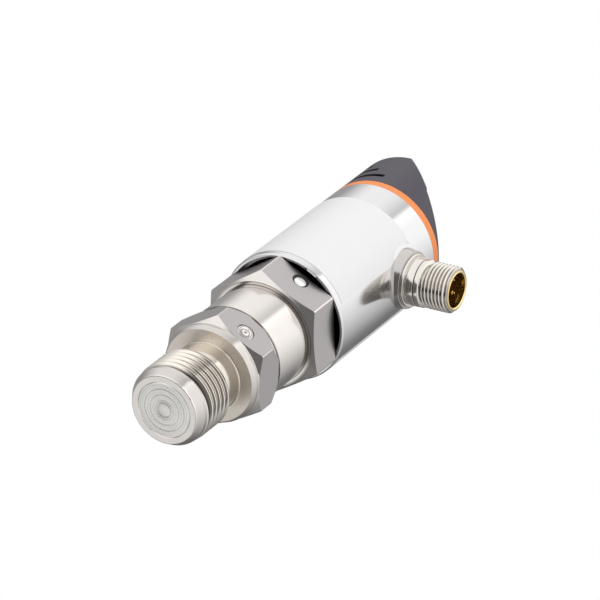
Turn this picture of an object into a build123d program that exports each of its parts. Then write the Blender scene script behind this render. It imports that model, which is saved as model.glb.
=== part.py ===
"""Pressure sensor with a flush diaphragm, a swivelling housing, a slanted display head
and a round side connector.

The origin is the centre of the collar's sealing face. +Z runs along the sensor's axis from
the process end to the head, and +X points along the connector. Lengths are in millimetres.
"""

import os
from math import acos, asin, atan2, cos, degrees, radians, sin, tan

from build123d import *

# Process connection
THREAD_D = 20.955
THREAD_LEN = 11.0
FACE_D = 17.8
NOSE_D = 20.3
NOSE_LEN = 3.1
NOSE_CONE_LEN = 2.1
UNDERCUT_D = 17.6
UNDERCUT_LEN = 6.3
ROOT_RADIUS = 0.4
THREAD_CHAMFER = 0.8
COLLAR_FRONT_D = 24.4
COLLAR_D = 25.8
COLLAR_LEN = 2.1
COLLAR_BEVEL_LEN = 1.1
HEX_SMALL_AF = 26.0
HEX_SMALL_CORNER_D = 29.9
HEX_SMALL_LEN = 9.3
HEX_SMALL_FRONT_BEVEL = 1.5
HEX_SMALL_REAR_BEVEL = 3.0
HALF_SIDE_DEG = 30.0
SPIGOT_D = 18.0
SPIGOT_LEN = 5.0
CHANNEL_D = 2.0

# Diaphragm foil
FOIL_D = 14.4
FOIL_T = 0.16
FOIL_BED = 0.5
FOIL_CENTRE_D = 4.4
FOIL_RIM_D = 12.7
FOIL_WAVES = 4
FOIL_WAVE_H = 0.28
WELD_GROOVE = 0.16

# Fill plug on the small hexagon
PLUG_D = 4.6
PLUG_LEN = 5.0
PLUG_FROM_COLLAR = 4.0
PLUG_RING_D = 3.1
PLUG_RING_W = 0.35
PLUG_DIMPLE_D = 0.9
PLUG_RECESS = 0.3
PLUG_ANGLE = -56.3

# Sensor base with the neck and the large hexagon
NECK_D = 26.4
NECK_LEN = 13.8
NECK_JOINT_W = 0.4
NECK_JOINT_DEPTH = 0.35
HEX_LARGE_AF = 29.4
HEX_LARGE_CORNER_IN = 0.3
HEX_LARGE_LEN = 10.2
HEX_LARGE_BEVEL_D = 28.3
HEX_LARGE_FRONT_BEVEL = 1.25
SKIRT_GAP = 0.9
SKIRT_LEN = 3.2
LAND_LEN = 7.4
CELL_BORE_D = 18.2
CELL_SEAT_Z = 20.0
BOARD_BORE_D = 20.6
BOARD_SEAT_Z = 36.0

# Vent in the large hexagon
VENT_D = 4.4
VENT_RING_W = 0.62
VENT_DEPTH = 2.4
VENT_FROM_REAR = 2.7
VENT_ANGLE = -61.4
VENT_BORE_D = 1.4
VENT_RING_SUNK = 0.5
VENT_DISC_EDGE = 0.35
VENT_DOME_W = 0.25
VENT_DOME_DROP = 0.12

# Measuring cell stack
CELL_D = 18.0
CELL_T = 6.0
CELL_RECESS_D = 11.0
CELL_RECESS = 0.3
CELL_SEAL_T = 1.5
CELL_SEAL_D = 14.6
RETAINER_T = 2.5
RETAINER_BORE_D = 11.0
RETAINER_SLOT_W = 2.0
CELL_BOARD_T = 1.6

# Swivel between the base and the housing
RUNNING_FIT = 0.05
SEAT_FIT = 0.02
O_RING_T = 1.4
O_RING_GROOVE_W = 1.9
O_RING_INSET = 1.7
SWIVEL_DEG = 345.0
STOP_PIN_D = 1.5
STOP_PIN_GAP = 0.45
STOP_PIN_LEN = 4.2
STOP_PIN_OUT = 1.7
STOP_RING_T = 2.0
STOP_RING_W = 2.45
STOP_PLAY_DEG = 0.15
STOP_LUG_ROOT = 0.5
SNAP_RING_T = 0.9
SNAP_RING_GROOVE = 0.4
SNAP_RING_OUT = 0.85
SNAP_RING_SLOT = 2.7
AXIAL_PLAY = 0.1

# Housing tube
BODY_D = 34.0
BODY_WALL = 0.95
BODY_LEN = 46.2
RIM_GAP = 0.3
RIM_BEVEL = 0.4

# Label
LABEL_T = 0.08
LABEL_FROM_RIM = 2.0
LABEL_LEN = 35.1
LABEL_GAP_DEG = 46.0
LABEL_NOTCH_D = 17.8

# Round side connector, placed along the axis and across it
CONN_FROM_RIM = 33.3
CONN_OUT = 12.6
CONN_THREAD_D = 12.0
CONN_THREAD_LEN = 7.3
CONN_SLEEVE_D = 12.4
CONN_FLANGE_D = 13.8
CONN_FLANGE_T = 0.8
CONN_TAIL_D = 11.0
CONN_SEAM_W = 0.35
CONN_SEAM_FROM_FLANGE = 2.5
CONN_MOUTH_BEVEL = 0.45
CONN_LINER_D = 10.2
CONN_BORE_D = 8.8
CONN_LIP = 0.25
CONN_SOCKET = 8.0
CONN_KEY_W = 1.2
CONN_KEY_H = 0.6
CONN_INSERT_T = 6.0
CONN_TAIL_LEN = 6.0
BOSS_D = 14.8
BOSS_OUT = 1.0
BOSS_SLOPE_DEG = 20.0
PIN_D = 1.0
PIN_TIP_D = 0.5
PIN_CIRCLE_D = 5.0
PIN_TIP_GAP = 1.6
PIN_TAIL = 2.0
CONN_SEAL_T = 1.0
NUT_T = 1.6
NUT_INSET = 0.2
NUT_AF = 13.0

# Orange ring and head
ORANGE_T = 2.4
ORANGE_PLAY = 0.05
HEAD_H = 16.7
HEAD_LOW = 0.9
HEAD_RIDGE_X = 0.4
HEAD_WALL = 1.6
HEAD_STEP_X = 9.3
HEAD_STEP_H = 0.4
HEAD_EDGE_R = 0.6
HEAD_SPIGOT_GAP = 0.45
HEAD_SPIGOT_LEN = 4.0
HEAD_SPIGOT_WALL = 2.0
HEAD_FLOOR_T = 1.2
HEAD_SEAL_INSET = 2.2
GRIP_COUNT = 3
GRIP_FIRST = 3.8
GRIP_PITCH = 4.0
GRIP_H = 1.5
GRIP_DEPTH = 0.8
GRIP_END_X = -0.6
GRIP_END_STEP = -3.95

# Display and buttons on the slanted face
WINDOW_L = 21.0
WINDOW_W = 8.6
WINDOW_T = 0.9
WINDOW_SUNK = 0.05
WINDOW_R = 1.4
WINDOW_LEDGE = 0.8
WINDOW_FROM_RIDGE = 7.0
BUTTON_D = 3.8
BUTTON_PITCH = 5.8
BUTTON_FROM_EDGE = 6.5
BUTTON_OUT = 0.6
BUTTON_BEVEL = 0.3
BUTTON_FLANGE_D = 4.8
BUTTON_FLANGE_T = 0.5
BUTTON_STEM_D = 2.2
BUTTON_TRAVEL = 0.5
BUTTON_PLAY = 0.08
SWITCH_L = 3.0
SWITCH_H = 1.8
BOARD_DEPTH = 6.2
BOARD_T = 1.2
BOARD_FROM = 1.5
BOARD_TO = 19.5
MODULE_L = 15.6
MODULE_GAP = 0.15
MODULE_SIDE_GAP = 0.3
LED_D = 1.4
LED_PITCH = 17.4

# Boards and carrier inside the housing
CARRIER_T = 2.0
CARRIER_BORE_D = 16.0
MAIN_BOARD_X = -4.0
MAIN_BOARD_INSET = 3.55
MAIN_BOARD_T = 1.6
MAIN_BOARD_LEN = 37.0
RAIL_W = 3.4
RAIL_T = 2.4
RAIL_OVERLAP = 0.6
RAIL_LEN = 24.0
BOARD_FIT = 0.1
CHIP_SIZES = ((9.0, 9.0, 1.4), (5.0, 4.0, 1.8), (7.0, 5.0, 1.2), (4.0, 4.0, 2.2))
CHIP_GAP = 2.4

# Heights along the axis that follow from the sizes above
Z_THREAD_END = -UNDERCUT_LEN
Z_THREAD_START = Z_THREAD_END - THREAD_LEN
Z_FACE = Z_THREAD_START - NOSE_LEN
Z_HEX_SMALL = COLLAR_LEN
Z_PLUG = Z_HEX_SMALL + PLUG_FROM_COLLAR
Z_NECK = Z_HEX_SMALL + HEX_SMALL_LEN
Z_HEX_LARGE = Z_NECK + NECK_LEN
Z_HEX_REAR = Z_HEX_LARGE + HEX_LARGE_LEN
Z_RIM = Z_HEX_REAR + RIM_GAP
Z_LAND = Z_HEX_REAR + SKIRT_LEN
Z_LAND_REAR = Z_LAND + LAND_LEN
Z_STOP_RING = Z_LAND_REAR + AXIAL_PLAY
Z_CARRIER = Z_STOP_RING + STOP_RING_T
Z_BODY_END = Z_RIM + BODY_LEN
Z_HEAD = Z_BODY_END + ORANGE_T
Z_TOP = Z_HEAD + HEAD_H
Z_CONN = Z_RIM + CONN_FROM_RIM

# Radii that several pieces share
BODY_R = BODY_D / 2
HEX_LARGE_CORNER_D = BODY_D - HEX_LARGE_CORNER_IN
BODY_BORE_R = BODY_R - BODY_WALL
LAND_R = BODY_BORE_R - RUNNING_FIT
SNAP_RING_BORE_R = BODY_BORE_R - SNAP_RING_OUT
SKIRT_R = SNAP_RING_BORE_R - SKIRT_GAP
STOP_RING_BORE_R = BODY_BORE_R - STOP_RING_W
STOP_PIN_R = STOP_RING_BORE_R - STOP_PIN_GAP - STOP_PIN_D / 2
HEAD_SPIGOT_R = BODY_BORE_R - HEAD_SPIGOT_GAP
SPIGOT_BORE_R = HEAD_SPIGOT_R - HEAD_SPIGOT_WALL
MAIN_BOARD_HALF_W = BODY_BORE_R - MAIN_BOARD_INSET

# Places along the connector
CONN_FACE_X = BODY_R + BOSS_OUT
CONN_TAIL_END = CONN_FACE_X - CONN_TAIL_LEN
CONN_SLEEVE_X = CONN_FACE_X + CONN_FLANGE_T
CONN_REACH = CONN_FACE_X + CONN_OUT
CONN_THREAD_X = CONN_REACH - CONN_THREAD_LEN
SOCKET_FLOOR_X = CONN_REACH - CONN_SOCKET

# The slanted face: its angle to the head's top and the frame that its pieces are placed in
FACE_DEG = degrees(atan2(HEAD_H - HEAD_LOW, BODY_R - HEAD_RIDGE_X))
FACE_SLOPE = tan(radians(FACE_DEG))
FACE_LEN = (BODY_R - HEAD_RIDGE_X) / cos(radians(FACE_DEG))
BUTTON_DOWN = FACE_LEN - BUTTON_FROM_EDGE
FACE_DOWN = Vector(cos(radians(FACE_DEG)), 0, -sin(radians(FACE_DEG)))
FACE_OUT = Vector(sin(radians(FACE_DEG)), 0, cos(radians(FACE_DEG)))
RIDGE = Vector(HEAD_RIDGE_X, 0, Z_TOP)


def turned(corners):
    """Solid turned about Z from the (radius, z) corners of its half section."""
    kept = [spot for spot, before in zip(corners, [None, *corners]) if spot != before]
    outline = Polyline(*[(r, 0, z) for r, z in kept], close=True)
    return revolve(make_face(outline), Axis.Z)


def disc(diameter, z, height):
    """Plain cylinder standing on height z."""
    return turned([(0, z), (diameter / 2, z), (diameter / 2, z + height), (0, z + height)])


def ring(outer_r, inner_r, z, height):
    """Plain ring standing on height z."""
    return turned([(inner_r, z), (outer_r, z), (outer_r, z + height), (inner_r, z + height)])


def o_ring(centre_r, thickness, z):
    """O-ring about Z whose section is centred at (centre_r, z)."""
    return Pos(0, 0, z) * Torus(centre_r, thickness / 2)


def along_x(solid):
    """Turn a piece that was built about Z so that its Z axis is the connector's axis."""
    return Pos(0, 0, Z_CONN) * Rot(0, 90, 0) * solid


def face_place(down, across, out):
    """Place on the slanted face: down its slope from the ridge, across it and out of it."""
    origin = RIDGE + FACE_DOWN * down + Vector(0, across, 0) + FACE_OUT * out
    return Plane(origin=origin, x_dir=FACE_DOWN, z_dir=FACE_OUT).location


def hexagon(across_flats, corner_d, angle, z, length, front, rear):
    """Hexagonal bar with a flat facing an angle, and (diameter, length) of each end's bevel."""
    corner_r = corner_d / 2
    flats = RegularPolygon(across_flats / 2, 6, major_radius=False, rotation=angle + HALF_SIDE_DEG)
    bar = extrude(Pos(0, 0, z) * flats, length)
    envelope = turned([
        (0, z),
        (front[0] / 2, z),
        (corner_r, z + front[1]),
        (corner_r, z + length - rear[1]),
        (rear[0] / 2, z + length),
        (0, z + length),
    ])
    return bar & envelope


def radial(solid, z, angle, radius):
    """Place a piece built about Z so that it points outwards at an angle, height and radius."""
    return Rot(0, 0, angle) * Pos(radius, 0, z) * Rot(0, 90, 0) * solid


# Process unit
def make_process_fitting():
    """Nose, thread, undercut, collar, small hexagon and the spigot that plugs into the base."""
    face_r = FACE_D / 2
    nose_r = NOSE_D / 2
    thread_r = THREAD_D / 2
    undercut_r = UNDERCUT_D / 2
    root = [
        (undercut_r + ROOT_RADIUS * (1 - cos(radians(a))), -ROOT_RADIUS * (1 - sin(radians(a))))
        for a in (0, 30, 60, 90)
    ]
    body = turned([
        (0, Z_FACE),
        (face_r, Z_FACE),
        (nose_r, Z_FACE + NOSE_CONE_LEN),
        (nose_r, Z_THREAD_START),
        (thread_r - THREAD_CHAMFER / 2, Z_THREAD_START),
        (thread_r, Z_THREAD_START + THREAD_CHAMFER),
        (thread_r, Z_THREAD_END - THREAD_CHAMFER),
        (undercut_r, Z_THREAD_END),
        *root,
        (COLLAR_FRONT_D / 2, 0),
        (COLLAR_D / 2, COLLAR_BEVEL_LEN),
        (COLLAR_D / 2, COLLAR_LEN),
        (SPIGOT_D / 2, COLLAR_LEN),
        (SPIGOT_D / 2, Z_NECK + SPIGOT_LEN),
        (0, Z_NECK + SPIGOT_LEN),
    ])
    bar = hexagon(HEX_SMALL_AF, HEX_SMALL_CORNER_D, PLUG_ANGLE, Z_HEX_SMALL, HEX_SMALL_LEN,
                  (COLLAR_D, HEX_SMALL_FRONT_BEVEL), (NECK_D, HEX_SMALL_REAR_BEVEL))
    bed = disc(FOIL_D + 2 * SEAT_FIT, Z_FACE - FOIL_BED, 2 * FOIL_BED)
    weld = turned([
        (FOIL_D / 2 - WELD_GROOVE, Z_FACE),
        (FOIL_D / 2 + WELD_GROOVE, Z_FACE),
        (FOIL_D / 2, Z_FACE + WELD_GROOVE),
    ])
    channel = disc(CHANNEL_D, Z_FACE, Z_NECK + SPIGOT_LEN - Z_FACE)
    flat_r = HEX_SMALL_AF / 2
    plug_hole = disc(PLUG_D + 2 * SEAT_FIT, -PLUG_LEN, 2 * PLUG_LEN)
    oil_bore = disc(CHANNEL_D, -flat_r, flat_r)
    cuts = [bed, weld, channel]
    cuts += [radial(hole, Z_PLUG, PLUG_ANGLE, flat_r) for hole in (plug_hole, oil_bore)]
    return body + bar - cuts


def make_process_diaphragm():
    """Thin foil with ring-shaped waves round a flat centre."""
    centre_r = FOIL_CENTRE_D / 2
    step = (FOIL_RIM_D / 2 - centre_r) / (2 * FOIL_WAVES)
    top = [(0, Z_FACE), (centre_r, Z_FACE)]
    for index in range(1, 2 * FOIL_WAVES + 1):
        depth = FOIL_WAVE_H if index % 2 else 0
        top.append((centre_r + index * step, Z_FACE + depth))
    top.append((FOIL_D / 2, Z_FACE))
    back = [(r, z + FOIL_T) for r, z in reversed(top)]
    foil = turned(top + back)
    rim = ring(FOIL_D / 2, FOIL_RIM_D / 2, Z_FACE, FOIL_BED)
    return foil + rim


def make_fill_plug():
    """Round plug with a turned ring and a centre dimple in its head."""
    flat_r = HEX_SMALL_AF / 2
    ring_r = PLUG_RING_D / 2
    pin = turned([
        (0, -PLUG_LEN),
        (PLUG_D / 2, -PLUG_LEN),
        (PLUG_D / 2, -PLUG_RECESS),
        (ring_r + PLUG_RING_W, -PLUG_RECESS),
        (ring_r + PLUG_RING_W, 0),
        (ring_r, 0),
        (ring_r - PLUG_RING_W, -PLUG_RECESS),
        (PLUG_DIMPLE_D / 2, -PLUG_RECESS / 2),
        (0, -PLUG_RECESS),
    ])
    return radial(pin, Z_PLUG, PLUG_ANGLE, flat_r)


def make_sensor_base():
    """Neck, large hexagon, skirt and bearing land, bored for the cell and its board."""
    neck_r = NECK_D / 2
    groove_r = LAND_R - O_RING_T - SEAT_FIT
    first = Z_LAND + O_RING_INSET
    second = Z_LAND_REAR - O_RING_INSET - O_RING_GROOVE_W
    body = turned([
        (SPIGOT_D / 2 + SEAT_FIT, Z_NECK),
        (neck_r - NECK_JOINT_DEPTH, Z_NECK),
        (neck_r - NECK_JOINT_DEPTH, Z_NECK + NECK_JOINT_W),
        (neck_r, Z_NECK + NECK_JOINT_W),
        (neck_r, Z_HEX_LARGE),
        (SKIRT_R, Z_HEX_REAR),
        (SKIRT_R, Z_LAND),
        (LAND_R, Z_LAND),
        (LAND_R, first),
        (groove_r, first),
        (groove_r, first + O_RING_GROOVE_W),
        (LAND_R, first + O_RING_GROOVE_W),
        (LAND_R, second),
        (groove_r, second),
        (groove_r, second + O_RING_GROOVE_W),
        (LAND_R, second + O_RING_GROOVE_W),
        (LAND_R, Z_LAND_REAR),
        (BOARD_BORE_D / 2, Z_LAND_REAR),
        (BOARD_BORE_D / 2, BOARD_SEAT_Z),
        (CELL_BORE_D / 2, BOARD_SEAT_Z),
        (CELL_BORE_D / 2, CELL_SEAT_Z),
        (CHANNEL_D / 2, CELL_SEAT_Z),
        (CHANNEL_D / 2, Z_NECK + SPIGOT_LEN + SEAT_FIT),
        (SPIGOT_D / 2 + SEAT_FIT, Z_NECK + SPIGOT_LEN + SEAT_FIT),
    ])
    bar = hexagon(HEX_LARGE_AF, HEX_LARGE_CORNER_D, VENT_ANGLE, Z_HEX_LARGE, HEX_LARGE_LEN,
                  (HEX_LARGE_BEVEL_D, HEX_LARGE_FRONT_BEVEL), (HEX_LARGE_CORNER_D, 0))
    bar -= disc(CELL_BORE_D, Z_HEX_LARGE, HEX_LARGE_LEN)
    flat_r = HEX_LARGE_AF / 2
    vent_z = Z_HEX_REAR - VENT_FROM_REAR
    vent = disc(VENT_D, -VENT_DEPTH, 2 * VENT_DEPTH)
    vent_bore = disc(VENT_BORE_D, -flat_r, flat_r)
    pin_z = Z_LAND_REAR + STOP_PIN_OUT - STOP_PIN_LEN
    pin_hole = Pos(STOP_PIN_R, 0, 0) * disc(STOP_PIN_D + 2 * SEAT_FIT, pin_z, STOP_PIN_LEN)
    holes = [radial(hole, vent_z, VENT_ANGLE, flat_r) for hole in (vent, vent_bore)]
    return body + bar - holes - pin_hole


def make_vent_seal():
    """Dark ring that lines the vent hole."""
    outer = VENT_D / 2 - SEAT_FIT
    lining = ring(outer, outer - VENT_RING_W, -VENT_DEPTH, VENT_DEPTH - VENT_RING_SUNK)
    return radial(lining, Z_HEX_REAR - VENT_FROM_REAR, VENT_ANGLE, HEX_LARGE_AF / 2)


def make_vent_disc():
    """Bright disc held in the vent's ring, with a shallow dome."""
    r = VENT_D / 2 - 2 * SEAT_FIT - VENT_RING_W
    domed = turned([
        (0, -VENT_DEPTH),
        (r, -VENT_DEPTH),
        (r, -VENT_DISC_EDGE),
        (r - VENT_DOME_W, -VENT_DOME_DROP),
        (0, 0),
    ])
    return radial(domed, Z_HEX_REAR - VENT_FROM_REAR, VENT_ANGLE, HEX_LARGE_AF / 2)


def make_cell_parts():
    """O-ring, measuring cell, retaining ring and the cell's board, stacked in the base."""
    cell_z = CELL_SEAT_Z + CELL_SEAL_T
    cell_r = CELL_D / 2
    cell = turned([
        (0, cell_z + CELL_RECESS),
        (CELL_RECESS_D / 2, cell_z + CELL_RECESS),
        (CELL_RECESS_D / 2, cell_z),
        (cell_r, cell_z),
        (cell_r, cell_z + CELL_T),
        (0, cell_z + CELL_T),
    ])
    retainer = ring(CELL_BORE_D / 2 - SEAT_FIT, RETAINER_BORE_D / 2, cell_z + CELL_T, RETAINER_T)
    slot = Pos(0, 0, cell_z + CELL_T + RETAINER_T) * Box(CELL_BORE_D, RETAINER_SLOT_W, RETAINER_T)
    board = ring(BOARD_BORE_D / 2 - BOARD_FIT, CHANNEL_D, BOARD_SEAT_Z, CELL_BOARD_T)
    return {
        "cell_seal": o_ring(CELL_SEAL_D / 2, CELL_SEAL_T, CELL_SEAT_Z + CELL_SEAL_T / 2),
        "pressure_cell": cell,
        "cell_retainer": retainer - slot,
        "cell_board": board,
    }


def make_swivel_parts():
    """O-rings and stop pin of the base, snap ring and stop ring of the housing."""
    seal_r = LAND_R - O_RING_T / 2
    front_z = Z_LAND + O_RING_INSET + O_RING_GROOVE_W / 2
    rear_z = Z_LAND_REAR - O_RING_INSET - O_RING_GROOVE_W / 2
    pin_z = Z_LAND_REAR + STOP_PIN_OUT - STOP_PIN_LEN
    stop_pin = Pos(STOP_PIN_R, 0, 0) * disc(STOP_PIN_D, pin_z, STOP_PIN_LEN)
    snap_r = BODY_BORE_R + SNAP_RING_GROOVE
    snap_z = Z_LAND - AXIAL_PLAY - SNAP_RING_T
    snap_ring = ring(snap_r - SEAT_FIT, SNAP_RING_BORE_R, snap_z, SNAP_RING_T)
    snap_ring -= Pos(-snap_r, 0, snap_z) * Box(snap_r, SNAP_RING_SLOT, 3 * SNAP_RING_T)
    pin_half = degrees(asin(STOP_PIN_D / 2 / STOP_PIN_R))
    lug_half = (360 - SWIVEL_DEG) / 2 - pin_half - STOP_PLAY_DEG
    lug_in = STOP_PIN_R - STOP_PIN_D / 2
    lug_out = STOP_RING_BORE_R + STOP_LUG_ROOT
    section = Polyline((lug_in, 0, Z_STOP_RING), (lug_out, 0, Z_STOP_RING),
                       (lug_out, 0, Z_CARRIER), (lug_in, 0, Z_CARRIER), close=True)
    lug = Rot(0, 0, 180 - lug_half) * revolve(make_face(section), Axis.Z, 2 * lug_half)
    stop_ring = ring(BODY_BORE_R - SEAT_FIT, STOP_RING_BORE_R, Z_STOP_RING, STOP_RING_T) + lug
    return {
        "swivel_seal_front": o_ring(seal_r, O_RING_T, front_z),
        "swivel_seal_rear": o_ring(seal_r, O_RING_T, rear_z),
        "stop_pin": stop_pin,
        "snap_ring": snap_ring,
        "stop_ring": stop_ring,
    }


# Housing
def make_housing_tube():
    """Thin tube with a boss that widens towards its foot on the tube, bored for the connector."""
    tube = turned([
        (BODY_BORE_R, Z_RIM),
        (BODY_R - RIM_BEVEL, Z_RIM),
        (BODY_R, Z_RIM + RIM_BEVEL),
        (BODY_R, Z_BODY_END),
        (BODY_BORE_R, Z_BODY_END),
    ])
    boss_r = BOSS_D / 2
    foot_x = BODY_R / 2
    foot_r = boss_r + (CONN_FACE_X - foot_x) * tan(radians(BOSS_SLOPE_DEG))
    boss = along_x(turned([(0, foot_x), (foot_r, foot_x), (boss_r, CONN_FACE_X), (0, CONN_FACE_X)]))
    boss -= disc(2 * BODY_BORE_R, Z_CONN - BOSS_D, 2 * BOSS_D)
    hole = along_x(disc(CONN_TAIL_D + 2 * SEAT_FIT, 0, CONN_FACE_X))
    seal_r = (CONN_TAIL_D + 2 * CONN_SEAL_T) / 2 + SEAT_FIT
    seal_seat = along_x(disc(2 * seal_r, CONN_FACE_X - CONN_SEAL_T, CONN_SEAL_T))
    snap_z = Z_LAND - AXIAL_PLAY - SNAP_RING_T
    snap_groove = disc(2 * (BODY_BORE_R + SNAP_RING_GROOVE), snap_z, SNAP_RING_T)
    return tube + boss - hole - seal_seat - snap_groove


def make_label():
    """Thin white wrap that leaves a bare strip along the connector."""
    z = Z_RIM + LABEL_FROM_RIM
    section = Polyline((BODY_R, 0, z), (BODY_R + LABEL_T, 0, z),
                       (BODY_R + LABEL_T, 0, z + LABEL_LEN), (BODY_R, 0, z + LABEL_LEN), close=True)
    wrap = Rot(0, 0, LABEL_GAP_DEG / 2) * revolve(make_face(section), Axis.Z, 360 - LABEL_GAP_DEG)
    return wrap - along_x(disc(LABEL_NOTCH_D, 0, CONN_REACH))


def make_connector_parts():
    """Threaded shell, nut, gold sleeve, insert, contacts and seal, all on the connector's axis."""
    tail_r = CONN_TAIL_D / 2
    sleeve_r = CONN_SLEEVE_D / 2
    thread_r = CONN_THREAD_D / 2
    liner_r = CONN_LINER_D / 2
    bore_r = CONN_BORE_D / 2
    seam = CONN_SLEEVE_X + CONN_SEAM_FROM_FLANGE
    bevel = CONN_MOUTH_BEVEL
    shell = turned([
        (liner_r + SEAT_FIT, CONN_TAIL_END),
        (tail_r, CONN_TAIL_END),
        (tail_r, CONN_FACE_X),
        (CONN_FLANGE_D / 2, CONN_FACE_X),
        (CONN_FLANGE_D / 2, CONN_SLEEVE_X),
        (sleeve_r, CONN_SLEEVE_X),
        (sleeve_r, seam),
        (sleeve_r - CONN_SEAM_W, seam),
        (sleeve_r - CONN_SEAM_W, seam + CONN_SEAM_W),
        (sleeve_r, seam + CONN_SEAM_W),
        (sleeve_r, CONN_THREAD_X - 2 * CONN_SEAM_W),
        (thread_r - CONN_SEAM_W, CONN_THREAD_X - CONN_SEAM_W),
        (thread_r, CONN_THREAD_X),
        (thread_r, CONN_REACH - bevel),
        (thread_r - bevel, CONN_REACH),
        (liner_r + SEAT_FIT, CONN_REACH),
    ])
    mouth = CONN_REACH + CONN_LIP
    liner = turned([
        (bore_r, SOCKET_FLOOR_X - CONN_INSERT_T),
        (liner_r, SOCKET_FLOOR_X - CONN_INSERT_T),
        (liner_r, mouth - CONN_LIP / 2),
        (liner_r - CONN_LIP, mouth),
        (bore_r + CONN_LIP, mouth),
        (bore_r, mouth - CONN_LIP),
    ])
    key_len = CONN_SOCKET - PIN_TIP_GAP
    key = Pos(bore_r, 0, SOCKET_FLOOR_X + key_len / 2) * Box(2 * CONN_KEY_H, CONN_KEY_W, key_len)
    insert = disc(CONN_BORE_D - 2 * SEAT_FIT, SOCKET_FLOOR_X - CONN_INSERT_T, CONN_INSERT_T)
    tail = SOCKET_FLOOR_X - CONN_INSERT_T - PIN_TAIL
    pin_len = CONN_REACH - PIN_TIP_GAP - tail
    pin = disc(PIN_D, tail, pin_len - PIN_TIP_D) + disc(PIN_TIP_D, tail, pin_len)
    places = PolarLocations(PIN_CIRCLE_D / 2, 4, start_angle=45)
    pins = Part() + [place * pin for place in places]
    holes = [place * disc(PIN_D, tail, pin_len) for place in places]
    nut_flats = RegularPolygon(NUT_AF / 2, 6, major_radius=False, rotation=HALF_SIDE_DEG)
    nut_bar = extrude(Pos(0, 0, CONN_TAIL_END + NUT_INSET) * nut_flats, NUT_T)
    nut = nut_bar - disc(CONN_TAIL_D + 2 * SEAT_FIT, CONN_TAIL_END, 2 * NUT_T)
    seal = o_ring((CONN_TAIL_D + CONN_SEAL_T) / 2, CONN_SEAL_T - SEAT_FIT,
                  CONN_FACE_X - CONN_SEAL_T / 2)
    return {
        "connector_shell": along_x(shell),
        "connector_liner": along_x(liner + key),
        "connector_insert": along_x(insert - holes),
        "connector_pins": along_x(pins),
        "connector_nut": along_x(nut),
        "connector_seal": along_x(seal),
    }


# Head
def across_y(corners, reach):
    """Solid with the (x, z) outline of its side view, reaching as far on both sides of the axis."""
    outline = Polyline(*[(x, -reach, z) for x, z in corners], close=True)
    return extrude(make_face(outline), 2 * reach, dir=(0, 1, 0))


def slant_z(x, drop):
    """Height of the slanted face at x, or of a plane that lies a drop inside it."""
    return Z_TOP - (x - HEAD_RIDGE_X) * FACE_SLOPE - drop / cos(radians(FACE_DEG))


def grip_groove(index):
    """Groove round the back of the head whose ends step back from one groove to the next."""
    end_x = GRIP_END_X + index * GRIP_END_STEP
    start = degrees(acos(end_x / BODY_R))
    z = Z_HEAD + GRIP_FIRST + index * GRIP_PITCH - GRIP_H / 2
    inner = BODY_R - GRIP_DEPTH
    outer = BODY_R + GRIP_DEPTH
    section = Polyline((inner, 0, z), (outer, 0, z), (outer, 0, z + GRIP_H), (inner, 0, z + GRIP_H),
                       close=True)
    return Rot(0, 0, start) * revolve(make_face(section), Axis.Z, 360 - 2 * start)


def button_spots():
    """Across-positions of the buttons on the slanted face."""
    return [index * BUTTON_PITCH for index in (-1, 0, 1)]


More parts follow.
